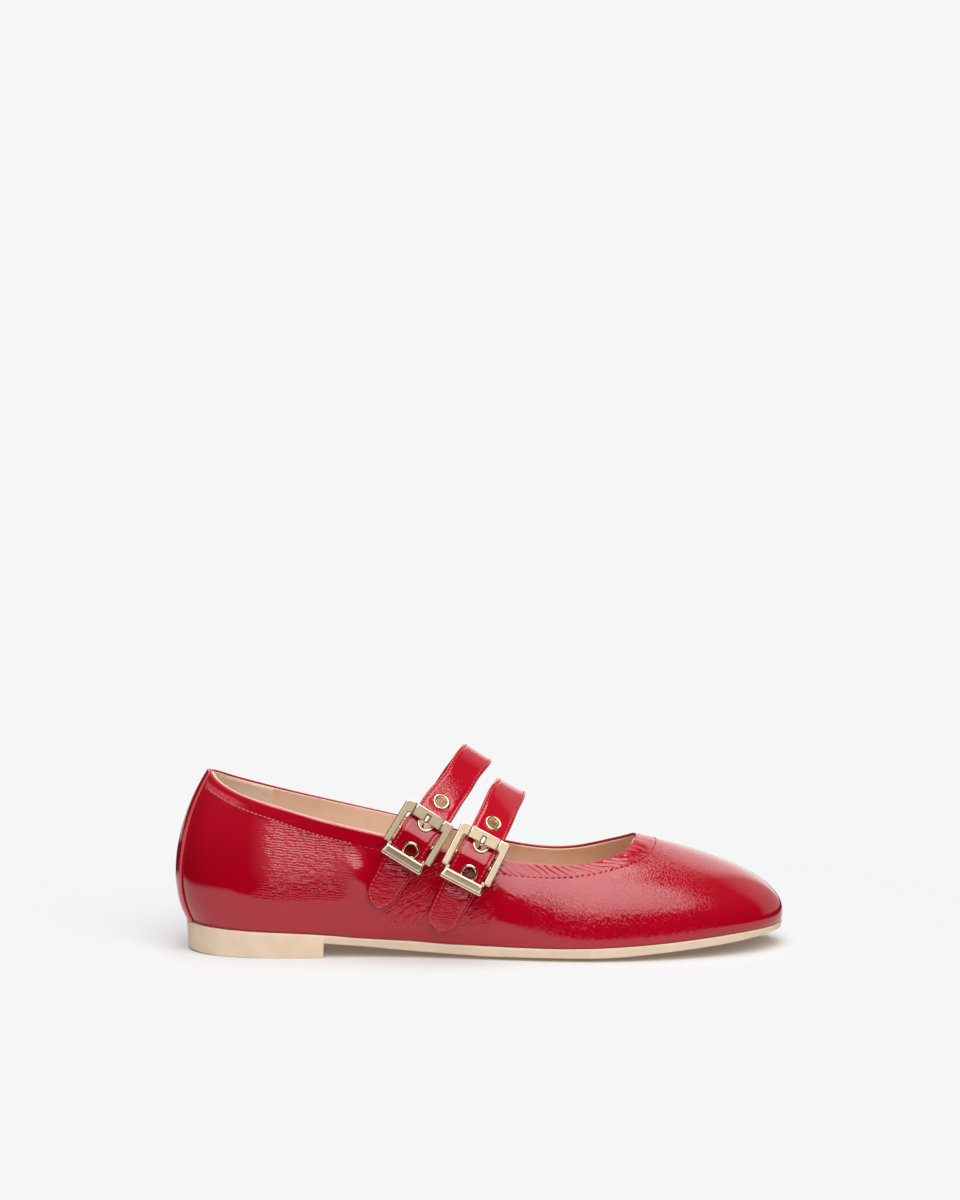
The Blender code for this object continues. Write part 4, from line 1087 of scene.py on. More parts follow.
STRAP_SEAM_INSET = 1.25
STRAP_EDGE_RADIUS = 0.62
STRAP_RING_STEP = 0.42
STRAP_FACE_POINTS = 41
STRAP_BACK_POINTS = 15
STRAP_ROLL_POINTS = 9
STRAP_SHARP = 60.0
HOLE_SIDES = 48
TAIL_PLACES = (23.0, 27.0, 32.0, 37.0, 41.0, TIP_END)
TIP_ROUND_START = TIP_END - TIP_WIDTH / 2.0

# Above the buckle the strap's edge towards the heel stands in by STRAP_TRIM, from start on. A wave in that
# edge and a swell of the other edge lie close above the buckle.
STRAP_TRIM = 0.9
Trim = namedtuple("Trim", "start wave swell")
STRAP_TRIMS = {"rear": Trim(-2.0, 0.3, 0.5), "front": Trim(-22.0, -0.4, 0.0)}


class Quarter:
    """The outer face of the upper as a surface that straps can be laid on."""

    def __init__(self):
        at = both_sides(np.linspace(0.0, HALF_ROUND, 301))
        outer = upper_grid(at, np.linspace(0.0, 1.0, 61))
        lean = units(outer[-1] - outer[-2])
        grown = np.concatenate([outer, (outer[-1] + 6.0 * lean)[None], (outer[-1] + 12.0 * lean)[None]])
        points = [Vector(point) for point in grown.reshape(-1, 3)]
        self.tree = BVHTree.FromPolygons(points, ring_faces(*grown.shape[:2], False))

    def lay(self, point, offset):
        """The point moved across the shoe until it is offset outside the outer face, or inside it."""
        side = -1.0 if point[1] < 0.0 else 1.0
        start = Vector((point[0], side * 2.0 * BALL_WIDTH, point[2]))
        hit, normal, _, _ = self.tree.ray_cast(start, Vector((0.0, -side, 0.0)))
        if hit is None:
            return np.asarray(point)
        slope = max(abs(normal.y), 0.5)
        return np.array((point[0], hit.y + side * offset / slope, point[2]))


class BuckleSeat:
    """A buckle's own axes: u across the strap, v down the strap from the top bar's outer edge, w outward."""

    def __init__(self, seat):
        bar = np.array((seat.bar_x, seat.bar_y, seat.bar_z))
        keeper = np.array((seat.keeper_x, seat.keeper_y, seat.keeper_z))
        slant = math.radians(seat.slant)
        self.v = unit(keeper - bar)
        across = np.array((math.cos(slant), SEAT_FLARE, -math.sin(slant)))
        self.u = unit(across - across.dot(self.v) * self.v)
        self.w = np.cross(self.u, self.v)
        if self.w[1] > 0.0:
            self.w = -self.w
        self.origin = bar - self.v * TOP_BAR / 2.0
        self.sway = seat.sway

    def aside(self, v):
        """How far the middle of the strap stands towards the toe at a distance under the frame."""
        return self.sway * (1.0 - float(smooth(v / SWAY_END)))

    def points(self, local):
        """Points (u, v, w) in the last's axes."""
        local = np.asarray(local, float).reshape(-1, 3)
        return self.origin + local @ np.array([self.u, self.v, self.w])


def strap_height(v):
    """Height of the strap's middle over the seat: it rises to a soft ridge over the bar and falls again."""
    return RIDGE_HEIGHT - RIDGE_SLOPE * math.hypot(v - BAR_PLACE, RIDGE_ROUND)


class Strap:
    """The middle line of a strap, with the directions across it and out of it, measured from its buckle."""

    SAMPLES = 1200

    def __init__(self, name, quarter):
        self.name = name
        self.seat = BuckleSeat(SEATS[name])
        self.quarter = quarter
        sizes = np.array((LENGTH, BALL_WIDTH, INSTEP_HEIGHT)) / 100.0
        arch = [np.array(turn) * sizes for turn in ARCHES[name]]
        held = [self.seat.points((self.seat.aside(v), v, strap_height(v)))[0]
                for v in np.linspace(BUCKLE_ENTRY, KEEPER_START + 0.5, 10)]
        tail = []
        for v in TAIL_PLACES:
            sway = TAIL_SWAY * (v - KEEPER_START) / (TIP_END - KEEPER_START)
            tail.append(quarter.lay(self.seat.points((sway, v, 0.0))[0], GAP + STRAP_THICKNESS / 2.0))
        self.path = natural_spline(arch + held + tail, self.SAMPLES)
        travelled = travel_along(self.path)
        bar = np.argmin(np.linalg.norm(self.path - held[0], axis=1))
        self.length = travelled - travelled[bar] + BUCKLE_ENTRY
        self.tangent = units(np.gradient(self.path, axis=0))
        slant = math.radians(CRESTS[name].slant)
        share = np.clip((self.length - self.length[0]) / (CREST_PLACE - self.length[0]), 0.0, 1.0)
        turn = math.radians(CRESTS[name].turn) * smooth(share)
        flat = np.cos(turn)
        ridge = np.stack([math.cos(slant) * flat, np.sin(turn), -math.sin(slant) * flat], axis=1)
        blend = smooth((self.length + 30.0) / 30.0)[:, None]
        across = ridge * (1.0 - blend) + self.seat.u * blend
        self.across = units(across - np.sum(across * self.tangent, axis=1)[:, None] * self.tangent)
        self.outward = np.cross(self.across, self.tangent)
        self.outward *= np.sign(self.outward[bar][1]) * -1.0

    def at(self, distance, aside=0.0):
        """Point, tangent, across and outward at a distance along the strap and to one side of its middle."""
        middle = between(distance, self.length, self.path)
        tangent, across, outward = [unit(between(distance, self.length, rows))
                                    for rows in (self.tangent, self.across, self.outward)]
        return middle + aside * across, tangent, across, outward

    def half_width(self, distance):
        half = STRAP_WIDTH / 2.0
        if distance <= TIP_START:
            return half
        share = min((distance - TIP_START) / (TIP_ROUND_START - TIP_START), 1.0)
        half += (TIP_WIDTH / 2.0 - half) * share
        if distance > TIP_ROUND_START:
            round_share = (distance - TIP_ROUND_START) / (TIP_END - TIP_ROUND_START)
            half *= math.sqrt(max(1.0 - round_share**2, 0.0))
        return half

    def trimmed(self, distance):
        """How far the edge towards the heel stands in above the buckle, and the other edge out."""
        shape = STRAP_TRIMS[self.name]
        trim = STRAP_TRIM * float(smooth((shape.start - distance) / 12.0))
        return trim + shape.wave * bell(distance + 21.0, 7.0), shape.swell * bell(distance + 8.0, 6.0)

    def on_band(self, distance, aside, lift):
        """A point on the strap: aside from its middle line, and lifted from its middle plane."""
        middle, _, across, outward = self.at(distance)
        half = self.half_width(distance)
        trim, swell = self.trimmed(distance)
        aside += trim * (half - aside) / (2.0 * half) + swell * (half + aside) / (2.0 * half)
        point = middle + across * aside
        laid = float(smooth((distance - FRAME_LENGTH + 4.0) / 4.0))
        if laid > 0.0:
            reach = (middle - self.quarter.lay(middle, 0.0)).dot(outward)
            point = point * (1.0 - laid) + self.quarter.lay(point, reach) * laid
        elif distance < self.length[0] + 10.0:
            limit = self.quarter.lay(point, -(WALL + GAP + STRAP_THICKNESS / 2.0))
            point = limit if abs(limit[1]) < abs(point[1]) else point
        return point + outward * lift


def strap_section():
    """Round the strap's section: share of the half width, angle on a rolled edge, and the part's name."""
    roll = np.linspace(math.pi / 2.0, -math.pi / 2.0, STRAP_ROLL_POINTS)[1:-1]
    section = [(share, 0.0, "face") for share in np.linspace(-1.0, 1.0, STRAP_FACE_POINTS)]
    section += [(1.0, angle, "edge") for angle in roll]
    section += [(share, 0.0, "back") for share in np.linspace(1.0, -1.0, STRAP_BACK_POINTS)]
    section += [(-1.0, angle, "edge") for angle in roll[::-1]]
    return section


def strap_relief(strap, distance, aside, half):
    """Height of the seam, the eyelets' dimples and the crinkles on the face of the strap."""
    seed = 100 if strap.name == "rear" else 200
    to_tip = np.where(distance > TIP_ROUND_START, DEEP, TIP_END - distance)
    edge = np.minimum(half - np.abs(aside), to_tip)
    height = -0.17 * bell(edge - STRAP_SEAM_INSET, 0.42)
    height += 0.08 * window(edge, 2.4, 9.0, 1.2)
    for eyelet in EYELETS:
        away = np.hypot(distance - eyelet.along, aside - eyelet.aside)
        height -= 0.16 * bell(away - EYELET_OUTER, 0.9)
    flat = np.column_stack([distance, aside, 0.0 * aside])
    slant = np.column_stack([(distance - 0.5 * aside) / 1.5, (aside + 0.5 * distance) / 6.0, 0.0 * aside])
    inside = smooth((edge - 1.6) / 1.0)
    tail = window(distance, 24.0, 43.0, 2.5)
    height += 0.05 * tail * creases(noise(slant, seed + 1), 2.2) * inside
    height += 0.03 * tail * noise(flat / (3.0, 5.0, 1.0), seed + 6)
    held = window(distance, 3.0, 19.0, 2.0)
    height += 0.035 * held * noise(flat / (3.2, 6.0, 1.0), seed + 2)
    free = window(distance, -190.0, -2.0, 6.0)
    height += 0.010 * free * noise(flat / (12.0, 6.0, 1.0), seed + 3)
    patch = window(distance, -26.0, -5.0, 5.0) * smooth(0.8 - aside / 6.0) if strap.name == "rear" else 0.3
    height += 0.022 * free * patch * inside * creases(noise(flat / (1.5, 4.0, 1.0), seed + 5), 2.2)
    return height


def make_strap(strap):
    """The strap as one folded band with its seam, crinkles and real holes for the eyelets."""
    places = list(np.arange(strap.length[0], TIP_ROUND_START, STRAP_RING_STEP))
    places += [TIP_END - TIP_WIDTH / 2.0 * (1.0 - math.sin(angle)) for angle in np.linspace(0.0, 1.545, 26)]
    section = strap_section()
    shares = np.array([share for share, _, _ in section])
    thick = STRAP_THICKNESS / 2.0
    rings = []
    for distance in places:
        half = strap.half_width(distance)
        radius = min(STRAP_EDGE_RADIUS, half * 0.6)
        asides = shares * (half - radius)
        relief = strap_relief(strap, np.full(len(section), distance), asides, half)
        ring = []
        for (share, angle, part), aside, height in zip(section, asides, relief):
            out = radius * math.cos(angle) * share if part == "edge" else 0.0
            lift = {"face": thick + height, "edge": thick * math.sin(angle), "back": -thick}[part]
            ring.append(strap.on_band(distance, aside + out, lift))
        rings.append(ring)
    points, faces = tube_mesh(rings)
    parts = [part for _, _, part in section]
    backing = [int(here == after == "back") for here, after in zip(parts, parts[1:] + parts[:1])]
    slots = backing * (len(rings) - 1) + [0, 0]
    surfaces = [STRAP_PATENT, LINING]
    band = mesh_of("strap_%s_leather" % strap.name, points, faces, surfaces, slots, STRAP_SHARP)
    reach = 3.0 * STRAP_THICKNESS
    plug = [(0.0, -reach), (EYELET_BARREL, -reach), (EYELET_BARREL, reach), (0.0, reach)]
    plugs = [turned("hole_%d" % number, plug, strap.at(eyelet.along, eyelet.aside), HOLE_SIDES, LINING)
             for number, eyelet in enumerate(EYELETS)]
    cut(band, plugs)
    band.data.set_sharp_from_angle(angle=math.radians(STRAP_SHARP))
    paint_strap(band, strap)
    finished(band, ["strap_" + strap.name])


def paint_strap(band, strap):
    """Masks of the crinkled tail, the free stretch lightened by painted light, and the rear strap's crinkled
    patch.
    """
    points = np.array([vertex.co for vertex in band.data.vertices]) / MM - LAST_ORIGIN
    nearest = np.array([np.argmin(np.sum((strap.path - point) ** 2, axis=1)) for point in points])
    distance = strap.length[nearest]
    aside = np.sum((points - strap.path[nearest]) * strap.across[nearest], axis=1)
    inside = smooth((strap.half_width(0.0) - 1.6 - np.abs(aside)) / 1.0)
    paint_mask(band, "tail", window(distance, 22.5, 41.0, 2.0) * inside)
    # Painted light: the stretch above the buckle, over the instep, is tinted lighter.
    paint_mask(band, "free", 0.45 * window(distance, -200.0, -5.0, 6.0))
    patch = window(distance, -19.0, -4.0, 7.0) * smooth(0.9 - aside / 9.0)
    paint_mask(band, "patch", patch * inside * (1.0 if strap.name == "rear" else 0.0))


def turned_mesh(profile, frame, steps):
    """Points and faces turned round the outward axis of a strap's frame; the profile is (radius, height)."""
    middle, tangent, across, outward = frame
    points, faces, rings = [], [], []
    for radius, height in profile:
        centre = middle + outward * height
        around = steps if radius > 0.0 else 1
        rings.append(list(range(len(points), len(points) + around)))
        for angle in np.linspace(0.0, 2.0 * math.pi, around, endpoint=False):
            points.append(centre + radius * (tangent * math.cos(angle) + across * math.sin(angle)))
    last = rings[1:] + rings[:1] if profile[0][0] > 0.0 else rings[1:]
    for here, ahead in zip(rings, last):
        for step in range(steps):
            after = (step + 1) % steps
            corners = [here[step % len(here)], here[after % len(here)],
                       ahead[after % len(ahead)], ahead[step % len(ahead)]]
            faces.append(list(dict.fromkeys(corners)))
    return np.array(points), faces


def turned(name, profile, frame, steps, surface, sharp=None):
    points, faces = turned_mesh(profile, frame, steps)
    return mesh_of(name, points, faces, [surface], sharp=sharp)


def arc(centre_a, centre_b, radius, start, end, steps):
    """Points of an arc in a plane, by angles in degrees."""
    angles = np.radians(np.linspace(start, end, steps))
    return [(centre_a + radius * math.cos(a), centre_b + radius * math.sin(a)) for a in angles]


EYELET_ROLL = 0.62
EYELET_SIDES = 64


def make_eyelets(strap):
    """Rolled flange on the face of the strap, a barrel through it and a clinched ring behind."""
    face = STRAP_THICKNESS / 2.0
    roll = (EYELET_OUTER - EYELET_INNER) / 2.0
    middle = EYELET_INNER + roll
    height = face + 0.05
    profile = [(middle + roll * math.cos(a), height + EYELET_ROLL * math.sin(a))
               for a in np.linspace(0.0, math.pi, 15)]
    profile += [(EYELET_INNER, -face)]
    profile += [(EYELET_CLINCH - 0.4 + 0.4 * math.cos(a), -face - 0.3 * math.sin(a))
                for a in np.linspace(math.pi, 0.0, 9)][1:]
    profile += [(EYELET_BARREL - 0.05, -face), (EYELET_BARREL - 0.05, height)]
    for number, eyelet in enumerate(EYELETS, 1):
        ring = turned("ring_%s_%d" % (strap.name, number), profile, strap.at(eyelet.along, eyelet.aside),
                      EYELET_SIDES, EYELET_GOLD, 50.0)
        finished(ring, ["eyelet_%s_%d" % (strap.name, number)])


# --- Buckles ---


def rounded(corners, steps=6):
    """A closed outline through corners (u, v, radius), each rounded by its radius."""
    outline = []
    count = len(corners)
    for i, (u, v, radius) in enumerate(corners):
        here = np.array((u, v))
        before = np.array(corners[i - 1][:2]) - here
        after = np.array(corners[(i + 1) % count][:2]) - here
        if radius <= 0.0:
            outline.append(here)
            continue
        to_before, to_after = unit(before), unit(after)
        angle = math.acos(np.clip(to_before.dot(to_after), -1.0, 1.0))
        reach = radius / math.tan(angle / 2.0)
        centre = here + unit(to_before + to_after) * radius / math.sin(angle / 2.0)
        start, end = here + to_before * reach - centre, here + to_after * reach - centre
        a0, a1 = math.atan2(start[1], start[0]), math.atan2(end[1], end[0])
        sweep = (a1 - a0 + math.pi) % (2.0 * math.pi) - math.pi
        for angle in a0 + sweep * np.linspace(0.0, 1.0, steps):
            outline.append(centre + radius * np.array((math.cos(angle), math.sin(angle))))
    return np.array(outline)


def inset(loop, distance):
    """The closed loop moved sideways by a distance at every corner."""
    loop = np.asarray(loop)
    ahead, behind = units(np.roll(loop, -1, axis=0) - loop), units(loop - np.roll(loop, 1, axis=0))
    bisector = np.stack([ahead[:, 1] + behind[:, 1], -ahead[:, 0] - behind[:, 0]], axis=1)
    return loop + distance * bisector / np.maximum(1.0 + np.sum(ahead * behind, axis=1), 0.6)[:, None]


def slab(seat, outline, low, high, bevel):
    """Points and faces of a plate between heights low and high, its upper edge rounded off."""
    area = np.sum(outline[:, 0] * np.roll(outline[:, 1], -1) - outline[:, 1] * np.roll(outline[:, 0], -1))
    inward = 1.0 if area < 0.0 else -1.0
    rings = [(inset(outline, inward * bevel * 0.4), low), (outline, low + bevel * 0.4)]
    rings += [(inset(outline, inward * aside), high - down) for aside, down in rounding(bevel)]
    rings.append((inset(outline, inward * bevel * 1.15), high))
    solid = [seat.points(np.column_stack([loop, np.full(len(loop), w)])) for loop, w in rings]
    return tube_mesh(solid)


def rectangle(left, right, start, end, radius):
    """Corners (u, v, radius) of a plate."""
    return [(left, start, radius), (right, start, radius), (right, end, radius), (left, end, radius)]


# The top bar is a U-shaped block between two heads, with a slot for the prong; joints part it from the heads.
BUCKLE_BEVEL = 0.42
FRAME_SHARP = 32.0
BAR_SIDES = 32
BLOCK_HALF = 6.25
BLOCK_PROUD = 0.12
JOINT = 0.16
HEAD = 0.8
HEAD_ROUND = 1.9
BAR_END_ROUND = 0.6
NECK_WIDTH = 1.45
PRONG_SLOT = 1.7
PRONG_SLOT_TOP = 0.9
PRONG_RINGS = 90
PRONG_SIDES = 20
PRONG_SQUARE = 0.6
PRONG_TIP_START = 0.96
PRONG_TIP_LENGTH = 0.045
KEEPER_BEVEL = 0.75
KEEPER_PANEL_START = 20.05
KEEPER_PANEL_END = 21.95
KEEPER_PANEL_DEPTH = 0.45


def make_frame(strap):
    """Two side bars with their corners, the block with the prong's slot, necks, lugs and the round bar."""
    seat = strap.seat
    high = FRAME_LOW + FRAME_THICKNESS
    half = FRAME_WIDTH / 2.0
    window_half = half - SIDE_BAR
    neck_end = KEEPER_TOP_WIDTH / 2.0 + 0.15
    outer, inner, slot = BLOCK_HALF + JOINT / 2.0, BLOCK_HALF - JOINT / 2.0, PRONG_SLOT / 2.0
    parts = []
    for side in (-1.0, 1.0):
        bar = [
            (side * outer, -HEAD, 0.0), (side * half, -HEAD, HEAD_ROUND),
            (side * half, SIDE_LENGTH, BAR_END_ROUND), (side * window_half, SIDE_LENGTH, BAR_END_ROUND),
            (side * window_half, TOP_BAR, WINDOW_CORNER), (side * outer, TOP_BAR, 0.0),
        ]
        neck = rectangle(side * (neck_end - NECK_WIDTH), side * neck_end, SIDE_LENGTH - 0.6,
                         KEEPER_START + 0.4, 0.1)
        lug = rectangle(side * (window_half + 0.3), side * (half - 0.5), BAR_PLACE - LUG_HALF,
                        BAR_PLACE + LUG_HALF, 0.4)
        parts.append(slab(seat, rounded(bar), FRAME_LOW, high, BUCKLE_BEVEL))
        parts.append(slab(seat, rounded(neck, 3), FRAME_LOW + 0.1, high - 0.28, 0.12))
        parts.append(slab(seat, rounded(lug, 4), BAR_DEPTH - LUG_BELOW, FRAME_LOW + 0.4, 0.15))
    block_start, block_end = -HEAD - BLOCK_PROUD, TOP_BAR + BLOCK_PROUD
    block = [(inner, block_start), (inner, block_end), (slot, block_end), (slot, PRONG_SLOT_TOP)]
    block += [(-u, v) for u, v in block[::-1]]
    parts.append(slab(seat, np.array(block), FRAME_LOW, high + 0.1, 0.3))
    joist = rectangle(-BLOCK_HALF - 1.0, BLOCK_HALF + 1.0, 0.35, TOP_BAR - 0.35, 0.2)
    parts.append(slab(seat, rounded(joist, 3), FRAME_LOW + 0.05, high - PRONG_GROOVE_DEPTH, 0.1))
    middle = seat.points((0.0, BAR_PLACE, BAR_DEPTH))[0]
    reach = window_half + 1.0
    parts.append(turned_mesh([(0.0, -reach), (BAR_RADIUS, -reach), (BAR_RADIUS, reach), (0.0, reach)],
                             (middle, seat.v, seat.w, seat.u), BAR_SIDES))
    piece = mesh_of("buckle_%s_frame" % strap.name, *joined(parts), [GOLD, SATIN_GOLD], sharp=FRAME_SHARP)
    satin_flats(piece, seat.w, -DEEP)
    finished(piece, ["buckle_" + strap.name])


def make_keeper(strap):
    """The plate that holds the strap's tip down, with a bare recessed panel."""
    seat = strap.seat
    high = FRAME_LOW + FRAME_THICKNESS
    top, lip = KEEPER_TOP_WIDTH / 2.0, KEEPER_LIP_WIDTH / 2.0
    plate = [(-top, KEEPER_START, 0.9), (top, KEEPER_START, 0.9),
             (lip, FRAME_LENGTH, 0.95), (-lip, FRAME_LENGTH, 0.95)]
    solid = slab(seat, rounded(plate), FRAME_LOW, high, KEEPER_BEVEL)
    keeper = mesh_of("buckle_%s_keeper" % strap.name, *solid, [GOLD, SATIN_GOLD, PANEL_GOLD])
    panel_round = (KEEPER_PANEL_END - KEEPER_PANEL_START) / 2.0 * 0.98
    panel = [(-top + 0.9, KEEPER_PANEL_START, 0.3), (top - 0.6, KEEPER_PANEL_START, panel_round),
             (top - 0.6, KEEPER_PANEL_END, panel_round), (-top + 0.9, KEEPER_PANEL_END, 0.3)]
    panel_tool = slab(seat, rounded(panel), high - KEEPER_PANEL_DEPTH, high + 1.5, 0.1)
    cut(keeper, [mesh_of("panel", *panel_tool, [GOLD])])
    keeper.data.set_sharp_from_angle(angle=math.radians(FRAME_SHARP))
    satin_flats(keeper, seat.w, (seat.origin + LAST_ORIGIN).dot(seat.w) + high - 0.2)
    finished(keeper, ["buckle_" + strap.name])


def make_prong(strap):
    """A tapered prong, hooked round the bar, up through the second eyelet and laid in the top bar's slot."""
    seat = strap.seat
    eye = BAR_RADIUS + PRONG_CLEARANCE + PRONG_THICKNESS / 2.0
    top = FRAME_LOW + FRAME_THICKNESS - PRONG_GROOVE_DEPTH + PRONG_THICKNESS / 2.0 + 0.12
    line = arc(BAR_PLACE, BAR_DEPTH, eye, 45.0, -100.0, 7)
    line += [(8.6, -1.5), (6.4, -1.0), (5.3, 0.4), (4.9, 1.9)]
    line += [(4.3, top + 0.35), (3.2, top + 0.4), (1.25, top + 0.1)]
    path = natural_spline(seat.points([(0.0, v, w) for v, w in line]), PRONG_RINGS)
    outward = units(np.cross(seat.u, units(np.gradient(path, axis=0))))
    rings = []
    for i, (middle, out) in enumerate(zip(path, outward)):
        share = i / (len(path) - 1)
        width = PRONG_WIDTH / 2.0 * (1.4 - 0.50 * share * share)
        thick = PRONG_THICKNESS / 2.0 * (1.0 - 0.15 * share)
        if share > PRONG_TIP_START:
            tip = math.sqrt(max(1.0 - ((share - PRONG_TIP_START) / PRONG_TIP_LENGTH) ** 2, 0.05))
            width, thick = width * tip, thick * tip
        ring = []
        for angle in np.linspace(0.0, 2.0 * math.pi, PRONG_SIDES, endpoint=False):
            c, s = math.cos(angle), math.sin(angle)
            ring.append(middle + seat.u * width * math.copysign(abs(c) ** PRONG_SQUARE, c)
                        + out * thick * math.copysign(abs(s) ** PRONG_SQUARE, s))
        rings.append(ring)
    points, faces = tube_mesh(rings)
    finished(mesh_of("prong_%s_pin" % strap.name, points, faces, [GOLD], sharp=55.0),
             ["prong_" + strap.name])


# --- Stitches ---

Stitch = namedtuple("Stitch", "pitch length radius lift")
QUARTER_STITCH = Stitch(2.45, 1.7, 0.2, 0.1)
HEEL_STITCH = Stitch(1.9, 1.55, 0.36, 0.16)
STRAP_STITCH = Stitch(1.9, 1.4, 0.23, 0.12)
STITCH_SIDES = 8
HEEL_SEAM_END = 74.0
SEAM_COLUMNS = 1200
SEAM_SUNK = 0.10
STRAP_SEAM_SUNK = 0.14
STRAP_SEAM_STEP = 0.6


def capsule(start, end, normal, radius, lift):
    """Points and faces of one stitch: a short round-ended bar that dips at both ends."""
    along = unit(end - start)
    side = unit(np.cross(normal, along))
    out = unit(np.cross(along, side))
    if out.dot(normal) < 0.0:
        out = -out
    length = np.linalg.norm(end - start)
    rings = []
    for share in (0.0, 0.06, 0.2, 0.5, 0.8, 0.94, 1.0):
        width = radius * math.sqrt(max(1.0 - (2.0 * share - 1.0) ** 4, 0.04))
        centre = start + along * length * share + out * lift * (1.0 - (2.0 * share - 1.0) ** 2)
        rings.append([centre + width * (side * math.cos(a) + out * math.sin(a))
                      for a in np.linspace(0.0, 2.0 * math.pi, STITCH_SIDES, endpoint=False)])
    return tube_mesh(rings)


def make_seam(name, path, normals, stitch, surface):
    """A row of stitches along a path."""
    travelled = travel_along(path)
    parts = []
    for start in np.arange(stitch.pitch * 0.5, travelled[-1] - stitch.length, stitch.pitch):
        ends = [between(place, travelled, path) for place in (start, start + stitch.length)]
        normal = unit(between(start + stitch.length / 2.0, travelled, normals))
        parts.append(capsule(*ends, normal, stitch.radius, stitch.lift))
    finished(mesh_of(name, *joined(parts), [surface]), [])


def make_topline_stitches():
    """The seam below the topline: thread painted pink as a highlight near the heel, red thread along the
    quarters and the throat.
    """
    at = np.linspace(0.0, 2.0 * HALF_ROUND, SEAM_COLUMNS, endpoint=False)
    grid = upper_grid(at, np.linspace(0.6, 1.0, 60))
    normal = grid_normals(grid)
    depth = depth_below_topline(grid)
    path, normals = [], []
    for column in range(len(at)):
        seam = stitch_depth(grid[-1, column, 0])
        order = np.argsort(depth[:, column])
        path.append(between(seam, depth[order, column], grid[order, column]))
        normals.append(between(seam, depth[order, column], normal[order, column]))
    path, normals = np.array(path), np.array(normals)
    sunk = path - normals * SEAM_SUNK
    heel = sunk[:, 0] < HEEL_SEAM_END
    strip = np.abs(sunk[:, 1]) < BACK_STRIP_HALF - 0.2
    make_seam("seam_lateral", sunk[~heel], normals[~heel], QUARTER_STITCH, THREAD)
    for name, side in (("seam_heel_lateral", -1.0), ("seam_heel_medial", 1.0)):
        keep = heel & ~strip & (np.sign(sunk[:, 1]) == side)
        make_seam(name, path[keep], normals[keep], HEEL_STITCH, HIGHLIT_HEEL_THREAD)


def make_strap_stitches(strap):
    """A seam round both edges and the tip of the strap."""
    lift = STRAP_THICKNESS / 2.0 - STRAP_SEAM_SUNK
    inner_end = TIP_END - STRAP_SEAM_INSET
    heel_edge, toe_edge, outward = [], [], []
    for distance in np.arange(strap.length[0] + 8.0, inner_end, STRAP_SEAM_STEP):
        half = strap.half_width(distance) - STRAP_SEAM_INSET
        if distance > TIP_ROUND_START:
            share = (distance - TIP_ROUND_START) / (inner_end - TIP_ROUND_START)
            half = (TIP_WIDTH / 2.0 - STRAP_SEAM_INSET) * math.sqrt(1.0 - share**2)
        heel_edge.append(strap.on_band(distance, -half, lift))
        toe_edge.append(strap.on_band(distance, half, lift))
        outward.append(strap.at(distance)[3])
    path, normals = np.array(heel_edge + toe_edge[::-1]), np.array(outward + outward[::-1])
    make_seam("seam_strap_" + strap.name, path, normals, STRAP_STITCH, STRAP_THREAD)


# --- Camera, floor and light ---

CAMERA_AIM = np.array((125.0, 0.0, 0.0))
CAMERA_DISTANCE = 1500.0
CAMERA_RISE = 10.5
CAMERA_TURN = -2.0
CAMERA_PITCH = 5.0865
CAMERA_LENS = 109.09
CAMERA_REACH = 200.0
BACKGROUND = (0.920, 0.922, 0.920, 1.0)


def make_camera():
    """A long lens in front of the lateral side, a little above the shoe."""
    rise, turn = math.radians(CAMERA_RISE), math.radians(CAMERA_TURN)
    offset = np.array((math.sin(turn) * math.cos(rise), -math.cos(turn) * math.cos(rise), math.sin(rise)))
    camera = bpy.data.objects.new("camera", bpy.data.cameras.new("camera"))
    bpy.context.scene.collection.objects.link(camera)
    camera.location = place(CAMERA_AIM + CAMERA_DISTANCE * offset)[0]
    camera.rotation_euler = (math.radians(90.0 - CAMERA_PITCH), 0.0, turn)
    camera.data.lens = CAMERA_LENS
    camera.data.clip_end = CAMERA_REACH
    bpy.context.scene.camera = camera


# The scrim hangs level over the shoe. Its outline is where all of its edges agree: each is a line through a
# point, at a height of 1 over the shoe, with a direction that points into the scrim and a soft width.
Edge = namedtuple("Edge", "inward through soft")
FRONT_SCRIM = (
    Edge((-0.75, 0.66), (0.3, 0.05), 0.06), Edge((-1.0, 0.0), (1.3, 0.0), 0.08),
    Edge((-0.74, -0.67), (0.3, 2.7), 0.35), Edge((1.0, 0.0), (-0.4, 0.0), 0.08),
    Edge((0.0, 1.0), (0.0, -0.5), 0.08),
)
TOP_SCRIM = (
    Edge((-1.0, 0.0), (0.3, 0.0), 0.05), Edge((1.0, 0.0), (-0.4, 0.0), 0.08),
    Edge((0.0, 1.0), (0.0, -0.5), 0.08), Edge((0.0, -1.0), (0.0, 0.6), 0.08),
)
SCRIM_LIGHT = 3.8
SCRIM_FAR_LIGHT = SCRIM_LIGHT * 0.68
ROOM_LIGHT = (0.02, 0.12)
WALL_LIGHT = 0.62
BACK_LIGHT = 1.4


